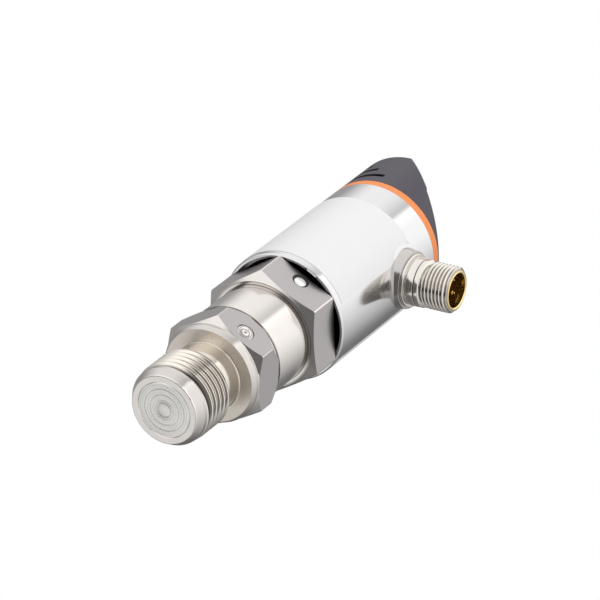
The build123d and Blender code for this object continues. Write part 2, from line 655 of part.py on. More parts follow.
def make_head_cap():
    """Dark cap: round wall, flat top, slanted face with a raised display field, and a spigot."""
    outline = [
        (-BODY_R, Z_HEAD),
        (BODY_R, Z_HEAD),
        (BODY_R, slant_z(BODY_R, 0)),
        (HEAD_RIDGE_X, Z_TOP),
        (-BODY_R, Z_TOP),
    ]
    cap = across_y(outline, BODY_R) & disc(BODY_D, Z_HEAD, HEAD_H)
    upper_edges = [edge for edge in cap.edges() if edge.center().Z > Z_HEAD + HEAD_LOW]
    cap = fillet(upper_edges, HEAD_EDGE_R)
    riser_x = HEAD_STEP_X - HEAD_STEP_H * sin(radians(FACE_DEG))
    clear_x = HEAD_STEP_X + HEAD_STEP_H * sin(radians(FACE_DEG))
    cap -= across_y([
        (riser_x, slant_z(riser_x, HEAD_STEP_H)),
        (clear_x, slant_z(clear_x, -HEAD_STEP_H)),
        (BODY_D, slant_z(BODY_D, -HEAD_STEP_H)),
        (BODY_D, slant_z(BODY_D, HEAD_STEP_H)),
    ], BODY_R)

    floor = Z_HEAD + HEAD_FLOOR_T
    drop = HEAD_WALL + HEAD_STEP_H
    roof = Z_TOP - HEAD_WALL
    inner_lean = drop / cos(radians(FACE_DEG))
    low_x = HEAD_RIDGE_X + (Z_TOP - floor - inner_lean) / FACE_SLOPE
    high_x = HEAD_RIDGE_X + (HEAD_WALL - inner_lean) / FACE_SLOPE
    room = across_y([(-BODY_R, floor), (low_x, floor), (high_x, roof), (-BODY_R, roof)], BODY_R)
    room &= disc(BODY_D - 2 * HEAD_WALL, floor, HEAD_H)

    spigot_z = Z_BODY_END - HEAD_SPIGOT_LEN
    spigot = disc(2 * HEAD_SPIGOT_R, spigot_z, Z_HEAD - spigot_z)
    bore = disc(2 * SPIGOT_BORE_R, spigot_z, floor - spigot_z)
    groove_r = BODY_BORE_R - O_RING_T - 2 * SEAT_FIT
    groove = ring(BODY_R, groove_r, Z_BODY_END - HEAD_SEAL_INSET - O_RING_GROOVE_W / 2,
                  O_RING_GROOVE_W)

    rebate = extrude(RectangleRounded(WINDOW_W, WINDOW_L, WINDOW_R), WINDOW_T + SEAT_FIT + WINDOW_SUNK)
    opening_w = WINDOW_W - 2 * WINDOW_LEDGE
    opening_l = WINDOW_L - 2 * WINDOW_LEDGE
    opening = extrude(RectangleRounded(opening_w, opening_l, WINDOW_R - WINDOW_LEDGE / 2), BOARD_DEPTH)
    cuts = [room, bore, groove]
    cuts.append(face_place(WINDOW_FROM_RIDGE, 0, -WINDOW_T - SEAT_FIT - WINDOW_SUNK) * rebate)
    cuts.append(face_place(WINDOW_FROM_RIDGE, 0, -BOARD_DEPTH + HEAD_WALL) * opening)
    hole = disc(BUTTON_D + 2 * BUTTON_PLAY, -2 * HEAD_WALL, 4 * HEAD_WALL)
    cuts += [face_place(BUTTON_DOWN, spot, 0) * hole for spot in button_spots()]
    cuts += [grip_groove(index) for index in range(GRIP_COUNT)]
    return cap + spigot - cuts


def make_buttons():
    """Three stepped buttons, kept in by their flanges, each with a stem down to its switch."""
    top = BUTTON_OUT - HEAD_STEP_H
    flange_top = -HEAD_STEP_H - HEAD_WALL - BUTTON_PLAY
    stem_end = SWITCH_H - BOARD_DEPTH + BUTTON_TRAVEL + BUTTON_PLAY
    cap_r = BUTTON_D / 2
    button = turned([
        (0, stem_end),
        (BUTTON_STEM_D / 2, stem_end),
        (BUTTON_STEM_D / 2, flange_top - BUTTON_FLANGE_T),
        (BUTTON_FLANGE_D / 2, flange_top - BUTTON_FLANGE_T),
        (BUTTON_FLANGE_D / 2, flange_top),
        (cap_r, flange_top),
        (cap_r, top - BUTTON_BEVEL),
        (cap_r - BUTTON_BEVEL, top),
        (0, top),
    ])
    names = ("button_left", "button_middle", "button_right")
    return {
        name: face_place(BUTTON_DOWN, spot, 0) * button
        for name, spot in zip(names, button_spots())
    }


def make_display_parts():
    """Window, display, status lights, board and switches, stacked under the slanted face."""
    window = extrude(RectangleRounded(WINDOW_W - 2 * SEAT_FIT, WINDOW_L - 2 * SEAT_FIT, WINDOW_R),
                     WINDOW_T)
    module_top = -WINDOW_SUNK - WINDOW_T - MODULE_GAP
    module_h = module_top + BOARD_DEPTH
    module_w = WINDOW_W - 2 * WINDOW_LEDGE - 2 * MODULE_SIDE_GAP
    module = Pos(0, 0, module_h / 2) * Box(module_w, MODULE_L, module_h)
    light = disc(LED_D, 0, module_h)
    board = Pos((BOARD_TO - BOARD_FROM) / 2, 0, BOARD_T / 2) * Box(BOARD_TO - BOARD_FROM, BODY_D, BOARD_T)
    board = face_place(BOARD_FROM, 0, -BOARD_DEPTH - BOARD_T) * board
    board &= disc(2 * (SPIGOT_BORE_R - BOARD_FIT), Z_BODY_END - HEAD_SPIGOT_LEN, HEAD_H + HEAD_SPIGOT_LEN)
    switch = Pos(0, 0, SWITCH_H / 2) * Box(SWITCH_L, SWITCH_L, SWITCH_H)
    lights = [face_place(WINDOW_FROM_RIDGE, side * LED_PITCH / 2, -BOARD_DEPTH) * light
              for side in (-1, 1)]
    switches = [face_place(BUTTON_DOWN, spot, -BOARD_DEPTH) * switch for spot in button_spots()]
    return {
        "display_window": face_place(WINDOW_FROM_RIDGE, 0, -WINDOW_T - WINDOW_SUNK) * window,
        "display_module": face_place(WINDOW_FROM_RIDGE, 0, -BOARD_DEPTH) * module,
        "status_leds": Part() + lights,
        "display_board": board,
        "button_switches": Part() + switches,
    }


def make_inner_parts():
    """Carrier with two slotted rails, the main board in its slots and the board's components."""
    floor = Z_CARRIER + CARRIER_T
    carrier = ring(BODY_BORE_R - SEAT_FIT, CARRIER_BORE_D / 2, Z_CARRIER, CARRIER_T)
    slot_w = MAIN_BOARD_T + 2 * BOARD_FIT
    slot_reach = MAIN_BOARD_HALF_W + BOARD_FIT
    for side in (-1, 1):
        rail_y = side * (MAIN_BOARD_HALF_W + RAIL_T / 2 - RAIL_OVERLAP)
        rail = Pos(MAIN_BOARD_X, rail_y, floor + RAIL_LEN / 2) * Box(RAIL_W, RAIL_T, RAIL_LEN)
        carrier += rail
    slot = Pos(MAIN_BOARD_X, 0, floor + RAIL_LEN / 2) * Box(slot_w, 2 * slot_reach, RAIL_LEN)
    board = Pos(MAIN_BOARD_X, 0, floor + MAIN_BOARD_LEN / 2) * Box(
        MAIN_BOARD_T, 2 * MAIN_BOARD_HALF_W, MAIN_BOARD_LEN)
    chips = []
    chip_z = floor + CHIP_GAP
    for width, height, thick in CHIP_SIZES:
        chip_x = MAIN_BOARD_X + MAIN_BOARD_T / 2 + thick / 2
        chips.append(Pos(chip_x, 0, chip_z + height / 2) * Box(thick, width, height))
        chip_z += height + CHIP_GAP
    return {
        "board_carrier": carrier - slot,
        "main_board": board,
        "board_chips": Part() + chips,
    }


def make_head_seals():
    """Orange ring between tube and head, and the O-ring on the head's spigot."""
    seal_r = BODY_BORE_R - SEAT_FIT - O_RING_T / 2
    return {
        "orange_ring": ring(BODY_R, HEAD_SPIGOT_R + ORANGE_PLAY, Z_BODY_END, ORANGE_T),
        "head_seal": o_ring(seal_r, O_RING_T, Z_BODY_END - HEAD_SEAL_INSET),
    }


def main():
    """Build every piece and write it to its own file."""
    os.makedirs("parts", exist_ok=True)
    pieces = {
        "process_fitting": make_process_fitting(),
        "process_diaphragm": make_process_diaphragm(),
        "fill_plug": make_fill_plug(),
        "sensor_base": make_sensor_base(),
        "vent_seal": make_vent_seal(),
        "vent_disc": make_vent_disc(),
        **make_cell_parts(),
        **make_swivel_parts(),
        "housing_tube": make_housing_tube(),
        "label_wrap": make_label(),
        **make_connector_parts(),
        **make_head_seals(),
        "head_cap": make_head_cap(),
        **make_display_parts(),
        **make_inner_parts(),
        **make_buttons(),
    }
    for name, piece in pieces.items():
        export_step(piece, f"parts/{name}.step")


main()
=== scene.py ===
"""Looks of a pressure sensor: turned and milled steel, a bare white label, an orange ring, a dark
display head and a threaded side connector, dressed round its fixed frame.

Sizes in the classes are millimetres. The sensor's axis is Z, and the connector's axis is X.
"""

from __future__ import annotations

import logging
from collections.abc import Callable, Sequence
from dataclasses import dataclass, field
from enum import Enum
from math import atan2, cos, degrees, hypot, pi, radians, sin, tan

import bmesh
import bpy
from mathutils import Matrix, Vector


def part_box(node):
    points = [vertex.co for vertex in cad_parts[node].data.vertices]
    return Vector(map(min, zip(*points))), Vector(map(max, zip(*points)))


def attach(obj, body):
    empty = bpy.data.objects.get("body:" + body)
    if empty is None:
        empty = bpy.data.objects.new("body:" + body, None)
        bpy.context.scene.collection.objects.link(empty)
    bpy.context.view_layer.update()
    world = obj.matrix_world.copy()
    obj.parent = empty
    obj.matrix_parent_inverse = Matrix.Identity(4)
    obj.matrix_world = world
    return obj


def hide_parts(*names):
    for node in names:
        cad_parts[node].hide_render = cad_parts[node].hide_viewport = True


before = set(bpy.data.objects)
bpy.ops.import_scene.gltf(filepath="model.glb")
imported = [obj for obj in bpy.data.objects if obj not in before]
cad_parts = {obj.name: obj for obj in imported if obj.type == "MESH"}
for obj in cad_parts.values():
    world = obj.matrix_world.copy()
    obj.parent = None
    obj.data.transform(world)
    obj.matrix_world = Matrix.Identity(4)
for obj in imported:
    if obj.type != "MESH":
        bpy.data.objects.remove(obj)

MM = 0.001
log = logging.getLogger("pressure_sensor")


# Shader maths


class Signal:
    """A shader socket that takes part in Python arithmetic."""

    def __init__(self, graph: Graph, socket: bpy.types.NodeSocket) -> None:
        """Keep the socket and the graph it belongs to."""
        self.graph = graph
        self.socket = socket

    def __add__(self, other: object) -> Signal:
        """Sum."""
        return self.graph.maths("ADD", self, other)

    def __radd__(self, other: object) -> Signal:
        """Sum with a number on the left."""
        return self.graph.maths("ADD", self, other)

    def __sub__(self, other: object) -> Signal:
        """Difference."""
        return self.graph.maths("SUBTRACT", self, other)

    def __rsub__(self, other: object) -> Signal:
        """Difference from a number on the left."""
        return self.graph.maths("SUBTRACT", other, self)

    def __mul__(self, other: object) -> Signal:
        """Product."""
        return self.graph.maths("MULTIPLY", self, other)

    def __rmul__(self, other: object) -> Signal:
        """Product with a number on the left."""
        return self.graph.maths("MULTIPLY", self, other)

    def __pow__(self, other: object) -> Signal:
        """Power."""
        return self.graph.maths("POWER", self, other)

    def above(self, low: float, high: float) -> Signal:
        """Smooth step from 0 at low to 1 at high.

        Args:
            low: value where the step starts.
            high: value where the step ends.

        Returns:
            The step between 0 and 1.
        """
        settings = {"interpolation_type": "SMOOTHSTEP"}
        return self.graph.add("ShaderNodeMapRange", settings, [self, low, high, 0.0, 1.0])

    def below(self, low: float, high: float) -> Signal:
        """Smooth step from 1 at low to 0 at high."""
        return 1 - self.above(low, high)

    def between(self, low: float, high: float, edge: float = 0.02) -> Signal:
        """1 between low and high and 0 elsewhere.

        Args:
            low: value where the rise starts.
            high: value where the fall ends.
            edge: length of the rise and of the fall.

        Returns:
            The share between 0 and 1.
        """
        return self.above(low, low + edge) * self.below(high - edge, high)


class Graph:
    """A node tree that is filled by code."""

    def __init__(self, tree: bpy.types.NodeTree) -> None:
        """Start from an empty tree."""
        tree.nodes.clear()
        self.tree = tree

    def add(
        self,
        kind: str,
        settings: dict[str, object] | None = None,
        inputs: Sequence[object] | dict[str | int, object] = (),
        output: str | int = 0,
    ) -> Signal:
        """Add a node, set it up and link it.

        Args:
            kind: the node's type.
            settings: properties to set before the sockets are filled.
            inputs: values or signals, in socket order or by socket name or number.
            output: the output that the caller wants.

        Returns:
            The wanted output.
        """
        node = self.tree.nodes.new(kind)
        for key, value in (settings or {}).items():
            setattr(node, key, value)
        pairs = inputs.items() if isinstance(inputs, dict) else enumerate(inputs)
        for key, value in pairs:
            if isinstance(value, Signal):
                self.tree.links.new(value.socket, node.inputs[key])
            else:
                node.inputs[key].default_value = value
        return Signal(self, node.outputs[output] if len(node.outputs) else None)

    def maths(self, operation: str, *values: object) -> Signal:
        """Add a Math node on values or signals."""
        return self.add("ShaderNodeMath", {"operation": operation}, values)

    def mix(self, factor: object, first: object, second: object) -> Signal:
        """Mix two colours.

        Args:
            factor: share of the second colour.
            first: colour at factor 0.
            second: colour at factor 1.

        Returns:
            The mixed colour.
        """
        settings = {"data_type": "RGBA"}
        return self.add("ShaderNodeMix", settings, {0: factor, 6: first, 7: second}, output=2)

    def places(self) -> tuple[Signal, Signal, Signal]:
        """The object's own coordinates as three numbers, in millimetres."""
        spot = self.add("ShaderNodeTexCoord", output="Object")
        return tuple(part * (1 / MM) for part in self.parts(spot))

    def parts(self, spot: Signal) -> list[Signal]:
        """The three numbers of a vector."""
        return [self.add("ShaderNodeSeparateXYZ", None, [spot], output=n) for n in range(3)]

    def rays(self, *kinds: str) -> list[Signal]:
        """Whether the ray that sees a surface is of each kind."""
        return [self.add("ShaderNodeLightPath", output=kind) for kind in kinds]

    def vector(self, x: object, y: object, z: object) -> Signal:
        """Join three numbers to a vector."""
        return self.add("ShaderNodeCombineXYZ", None, [x, y, z])

    def noise(self, spot: Signal, scale: float, detail: float = 2.0, roughness: float = 0.5) -> Signal:
        """Noise between 0 and 1 at a place.

        Args:
            spot: the place, in millimetres.
            scale: bumps per millimetre.
            detail: octaves of finer noise.
            roughness: strength of the finer noise.

        Returns:
            The noise value.
        """
        values = {"Vector": spot, "Scale": scale, "Detail": detail, "Roughness": roughness}
        return self.add("ShaderNodeTexNoise", None, values)


def length(first: Signal, second: Signal) -> Signal:
    """Length of a vector with two parts."""
    return (first * first + second * second) ** 0.5


Colour = tuple[float, float, float]
FAR = 40.0


def rgba(colour: Colour, share: float = 1.0) -> tuple[float, float, float, float]:
    """A colour with full alpha, made lighter or darker by a share."""
    return (*[min(1.0, channel * share) for channel in colour], 1.0)


class Axis(Enum):
    """Axis that a piece was turned about."""

    SENSOR = "sensor"
    CONNECTOR = "connector"


@dataclass(frozen=True)
class Zone:
    """Ring shaped part of a surface with a colour laid over it, such as painted shade in a deep
    thread root.

    A zone that reaches to FAR has no outer limit.
    """

    z_low: float
    z_high: float
    r_low: float
    r_high: float
    colour: Colour
    soft: float = 0.05
    roughness: float | None = None

    def inside(self, radius: Signal, z: Signal) -> Signal:
        """Share of the zone at a place.

        Args:
            radius: distance from the piece's axis, in millimetres.
            z: place along the axis, in millimetres.

        Returns:
            1 inside the zone and 0 outside it.
        """
        held = z.between(self.z_low, self.z_high)
        if self.r_low > 0:
            held = held * radius.above(self.r_low, self.r_low + self.soft)
        return held * radius.below(self.r_high - self.soft, self.r_high)

    def over(self, graph: Graph, tone: Signal, radius: Signal, z: Signal) -> Signal:
        """Lay the zone's colour over a tone.

        Args:
            graph: the material's graph.
            tone: the colour so far.
            radius: distance from the piece's axis, in millimetres.
            z: place along the axis, in millimetres.

        Returns:
            The colour with the zone laid over it.
        """
        return graph.mix(self.inside(radius, z), tone, rgba(self.colour))


# Finishes


class LatheMarks:
    """What turning leaves on steel: fine lines, streaks round the axis and soft patches."""

    STREAK_AROUND = 0.35
    STREAK_ALONG = 2.2
    STREAKS_PER_MM = 0.9
    PATCHES_PER_MM = 0.16
    PATCH_SHARE = 0.6
    SMOOTHEST = 0.75
    STREAK_ROUGHNESS = 0.35
    PATCH_ROUGHNESS = 0.3
    PATCH_MIDDLE = 0.3

    def __init__(self, graph: Graph, x: Signal, y: Signal, z: Signal, lines_per_mm: float) -> None:
        """Make the three patterns.

        Args:
            graph: the material's graph.
            x: place across the piece's axis, in millimetres.
            y: the other place across the axis.
            z: place along the axis.
            lines_per_mm: number of fine lines in a millimetre.
        """
        self.graph = graph
        self.z = z
        self.radius = length(x, y)
        self.lines = graph.noise(graph.vector(self.radius, 0.0, z), lines_per_mm, 3.0, 0.6)
        around = graph.vector(x * self.STREAK_AROUND, y * self.STREAK_AROUND, z * self.STREAK_ALONG)
        self.streaks = graph.noise(around, self.STREAKS_PER_MM, 3.0, 0.55)
        self.patches = graph.noise(graph.vector(x, y, z), self.PATCHES_PER_MM)

    def tone(self, colour: Colour, spread: float, zones: Sequence[Zone]) -> Signal:
        """Colour of the steel.

        Args:
            colour: its mean colour.
            spread: how much lighter and darker it gets.
            zones: parts with a colour laid over the steel's, painted light and shade among them.

        Returns:
            The colour.
        """
        share = self.patches * self.PATCH_SHARE + self.streaks * (1 - self.PATCH_SHARE)
        tone = self.graph.mix(share, rgba(colour, 1 - spread), rgba(colour, 1 + spread))
        for zone in zones:
            tone = zone.over(self.graph, tone, self.radius, self.z)
        return tone

    def roughness(self, level: float, zones: Sequence[Zone]) -> Signal:
        """Roughness of the steel.

        Args:
            level: about its mean roughness.
            zones: parts that may have a roughness of their own.

        Returns:
            The roughness.
        """
        patchy = self.PATCH_ROUGHNESS * (self.patches - self.PATCH_MIDDLE)
        rough = level * (self.SMOOTHEST + self.STREAK_ROUGHNESS * self.streaks + patchy)
        for zone in zones:
            if zone.roughness is not None:
                share = zone.inside(self.radius, self.z)
                rough = rough * (1 - share) + zone.roughness * share
        return rough


@dataclass(frozen=True)
class TurnedSteel:
    """Bright metal with fine marks that run round its axis, and soft uneven patches."""

    name: str
    colour: Colour
    roughness: float = 0.2
    axis: Axis = Axis.SENSOR
    lines_per_mm: float = 7.0
    line_height: float = 0.0012
    patch: float = 0.05
    metallic: float = 1.0
    zones: tuple[Zone, ...] = ()

    def material(self) -> bpy.types.Material:
        """Build the material."""
        made, graph, shader = blank_material(self.name)
        x, y, z = graph.places()
        if self.axis is Axis.CONNECTOR:
            x, z = z - connector_height(), x
        marks = LatheMarks(graph, x, y, z, self.lines_per_mm)
        wire(graph, shader, {
            "Base Color": marks.tone(self.colour, self.patch, self.zones),
            "Roughness": marks.roughness(self.roughness, self.zones),
        })
        shader.inputs["Metallic"].default_value = self.metallic
        bump(graph, shader, marks.lines, self.line_height)
        return made


@dataclass(frozen=True)
class MilledSteel:
    """The turned finish with flats that were milled: straight fine marks where a face is a flat."""

    name: str
    colour: Colour
    flat_shaded_colour: Colour
    flat_distance: float
    hexagon_low: float
    hexagon_high: float
    angle: float
    roughness: float = 0.2
    flat_roughness: float = 0.3
    lines_per_mm: float = 7.0
    line_height: float = 0.0012
    patch: float = 0.05
    flat_patch: float = 0.07
    zones: tuple[Zone, ...] = ()

    def material(self) -> bpy.types.Material:
        """Build the material."""
        made, graph, shader = blank_material(self.name)
        x, y, z = graph.places()
        marks = LatheMarks(graph, x, y, z, self.lines_per_mm)
        widest = None
        for index in range(3):
            turn = radians(self.angle + 60 * index)
            size = graph.maths("ABSOLUTE", x * cos(turn) + y * sin(turn))
            widest = size if widest is None else graph.maths("MAXIMUM", widest, size)
        on_flat = widest.above(self.flat_distance - 0.03, self.flat_distance - 0.01)
        on_flat = on_flat * z.between(self.hexagon_low, self.hexagon_high)
        mill = graph.noise(graph.vector(x * 0.6, y * 0.6, z * 9.0), 1.6, 3.0, 0.6)
        tone = marks.tone(self.colour, self.patch, self.zones)
        # The flats' real mill marks, laid on a darker copy of the steel's colour that is painted shade.
        flat_marks_and_shade = graph.mix(
            mill, rgba(self.flat_shaded_colour, 1 - self.flat_patch), rgba(self.flat_shaded_colour, 1 + self.flat_patch)
        )
        rough = marks.roughness(self.roughness, self.zones)
        flat_rough = self.flat_roughness * (0.8 + 0.4 * mill)
        wire(graph, shader, {
            "Base Color": graph.mix(on_flat, tone, flat_marks_and_shade),
            "Roughness": rough * (1 - on_flat) + flat_rough * on_flat,
        })
        shader.inputs["Metallic"].default_value = 1.0
        bump(graph, shader, marks.lines * (1 - on_flat) + mill * on_flat, self.line_height)
        return made


@dataclass(frozen=True)
class RingedSteel:
    """Bright metal with rings of painted shade round an axis that points out of the sensor's side."""

    name: str
    colour: Colour
    angle: float
    height: float
    lines: Sequence[tuple[float, float]]
    roughness: float = 0.3
    line_depth: float = 0.03

    def material(self) -> bpy.types.Material:
        """Build the material; each line is a radius and the half width of the ring there."""
        made, graph, shader = blank_material(self.name)
        x, y, z = graph.places()
        turn = radians(self.angle)
        radius = length(y * cos(turn) - x * sin(turn), z - self.height)
        # Painted shade: dark rings in the turned grooves.
        painted_rings = None
        for place, half in self.lines:
            ring = radius.between(place - half, place + half, half)
            painted_rings = ring if painted_rings is None else painted_rings + ring
        tone = graph.mix(painted_rings, rgba(self.colour), rgba(DARK_RING_SHADE))
        wire(graph, shader, {"Base Color": tone})
        shader.inputs["Roughness"].default_value = self.roughness
        shader.inputs["Metallic"].default_value = 1.0
        bump(graph, shader, 1 - painted_rings, self.line_depth)
        return made


@dataclass(frozen=True)
class Moulded:
    """Moulded plastic or rubber with a fine grain, and painted shade in its grip grooves if groove_r
    is given.
    """

    # Painted shade in the grip grooves.
    GRIP_GROOVE_SHADE = (0.004, 0.004, 0.005)
    GROOVE_EDGE = 0.15
    GROOVES_TOP = 93.0
    GROOVES_FRONT = 0.0

    name: str
    colour: Colour
    roughness: float = 0.45
    grain_per_mm: float = 9.0
    grain_height: float = 0.004
    coat: float = 0.0
    mottle: float = 0.05
    groove_r: float = 0.0

    def material(self) -> bpy.types.Material:
        """Build the material."""
        made, graph, shader = blank_material(self.name)
        x, y, z = graph.places()
        spot = graph.vector(x, y, z)
        grain = graph.noise(spot, self.grain_per_mm, 2.0, 0.5)
        cloud = graph.noise(spot, 0.22, 3.0, 0.5)
        tone = graph.mix(cloud, rgba(self.colour, 1 - self.mottle), rgba(self.colour, 1 + self.mottle))
        if self.groove_r:
            # Painted shade: the depth of the grip grooves is coloured nearly black.
            deep = length(x, y).below(self.groove_r - self.GROOVE_EDGE, self.groove_r)
            deep = deep * z.below(self.GROOVES_TOP, self.GROOVES_TOP + 0.1)
            deep = deep * x.below(self.GROOVES_FRONT - 0.5, self.GROOVES_FRONT)
            tone = graph.mix(deep, tone, rgba(self.GRIP_GROOVE_SHADE))
        wire(graph, shader, {
            "Base Color": tone,
            "Roughness": self.roughness * (0.9 + 0.2 * cloud),
        })
        shader.inputs["Coat Weight"].default_value = self.coat
        shader.inputs["Coat Roughness"].default_value = 0.05
        bump(graph, shader, grain, self.grain_height)
        return made


@dataclass(frozen=True)
class LabelFilm:
    """Matte white film, a little glossy, with the faintest unevenness of its glue."""

    name: str
    colour: Colour
    roughness: float = 0.38

    def material(self) -> bpy.types.Material:
        """Build the material."""
        made, graph, shader = blank_material(self.name)
        x, y, z = graph.places()
        spot = graph.vector(x, y, z)
        fine = graph.noise(spot, 5.0, 2.0, 0.5)
        broad = graph.noise(spot, 0.12, 2.0, 0.5)
        tone = graph.mix(broad, rgba(self.colour, 0.985), rgba(self.colour, 1.01))
        wire(graph, shader, {
            "Base Color": tone,
            "Roughness": self.roughness * (0.85 + 0.3 * broad),
        })
        bump(graph, shader, fine * 0.15 + broad, 0.01)
        return made


@dataclass(frozen=True)
class BoardResist:
    """Printed board: coated in green, with copper lines that shine through."""

    name: str
    colour: Colour
    track_colour: Colour
    pitch: float = 1.27

    def material(self) -> bpy.types.Material:
        """Build the material."""
        made, graph, shader = blank_material(self.name)
        x, y, z = graph.places()
        along, across = [graph.maths("PINGPONG", place, self.pitch) for place in (y, z)]
        track = along.above(0.86 * self.pitch, 0.9 * self.pitch)
        cross = across.above(0.9 * self.pitch, 0.93 * self.pitch)
        gate = graph.noise(graph.vector(x, y, z), 0.3, 1.0, 0.5).above(0.48, 0.5)
        copper = track * gate + cross * (1 - gate)
        tone = graph.mix(copper, rgba(self.colour), rgba(self.track_colour))
        wire(graph, shader, {"Base Color": tone})
        shader.inputs["Roughness"].default_value = 0.35
        shader.inputs["Coat Weight"].default_value = 0.4
        bump(graph, shader, copper, 0.01)
        return made


def blank_material(name: str) -> tuple[bpy.types.Material, Graph, bpy.types.Node]:
    """Make a material that holds only a shader and its output.

    Args:
        name: the material's name.

    Returns:
        The material, its graph and the shader's node.
    """
    made = bpy.data.materials.new(name)
    made.use_nodes = True
    graph = Graph(made.node_tree)
    surface = graph.add("ShaderNodeBsdfPrincipled")
    graph.add("ShaderNodeOutputMaterial", None, {"Surface": surface})
    return made, graph, surface.socket.node


def wire(graph: Graph, shader: bpy.types.Node, inputs: dict[str, Signal]) -> None:
    """Link signals to the shader's sockets.

    Args:
        graph: the material's graph.
        shader: the shader's node.
        inputs: signals by socket name.
    """
    for key, value in inputs.items():
        graph.tree.links.new(value.socket, shader.inputs[key])


def bump(graph: Graph, shader: bpy.types.Node, height: Signal, size_mm: float) -> None:
    """Raise the surface by a height signal.

    Args:
        graph: the material's graph.
        shader: the shader's node.
        height: the height, from 0 to 1.
        size_mm: height of a full step, in millimetres.
    """
    values = {"Strength": 1.0, "Distance": size_mm * MM, "Height": height}
    raised = graph.add("ShaderNodeBump", None, values)
    graph.tree.links.new(raised.socket, shader.inputs["Normal"])


STEEL = (0.70, 0.665, 0.635)
# Darker copy of the steel for the milled flats: painted shade.
SHADED_FLAT_STEEL = (0.51, 0.48, 0.48)
# Lighter, warmer copy of the steel for the thread: painted light.
LIT_THREAD_STEEL = (0.81, 0.765, 0.70)
# Darker, browner copy of the steel for the undercut: painted shade.
SHADED_UNDERCUT_STEEL = (0.66, 0.61, 0.545)
# Darker copy of the steel for the nose and the collar: painted shade.
SHADED_NOSE_AND_COLLAR_STEEL = (0.585, 0.55, 0.525)
# Satin seat face: its roughness is real, its lighter colour is painted light.
LIT_SATIN_STEEL = (0.95, 0.885, 0.805)
# Painted shade in narrow grooves, joints and ring lines: near black with a brown cast.
DARK_RING_SHADE = (0.07, 0.055, 0.045)
ROOT_SHADE = (0.15, 0.127, 0.108)
DEEP_SHADE = (0.010, 0.018, 0.020)
NICKEL = (0.70, 0.665, 0.62)
GOLD = (0.86, 0.66, 0.30)


# Meshes


@dataclass(frozen=True)
class Corner:
    """Corner of a turned outline: radius, height and the radius that rounds it."""

    r: float
    z: float
    round: float = 0.0


def rounded(corners: Sequence[Corner], closed: bool = True, steps: int = 5) -> list[Vector]:
    """Points of an outline whose corners are rounded by arcs.

    Args:
        corners: the outline's corners in order.
        closed: whether the last corner joins the first.
        steps: number of spans in an arc.

    Returns:
        The points, in the XZ plane.
    """
    points: list[Vector] = []
    count = len(corners)
    for index, corner in enumerate(corners):
        here = Vector((corner.r, 0, corner.z))
        inner = closed or 0 < index < count - 1
        if corner.round == 0 or not inner:
            points.append(here)
            continue
        before, after = corners[index - 1], corners[(index + 1) % count]
        back = (Vector((before.r, 0, before.z)) - here).normalized()
        ahead = (Vector((after.r, 0, after.z)) - here).normalized()
        half = back.angle(ahead) / 2
        centre = here + (back + ahead).normalized() * (corner.round / sin(half))
        arm = here + back * (corner.round / tan(half)) - centre
        turn = pi - 2 * half
        side = 1.0 if back.cross(ahead).y < 0 else -1.0
        for step in range(steps + 1):
            spin = Matrix.Rotation(side * turn * step / steps, 3, "Y")
            points.append(centre + spin @ arm)
    return points


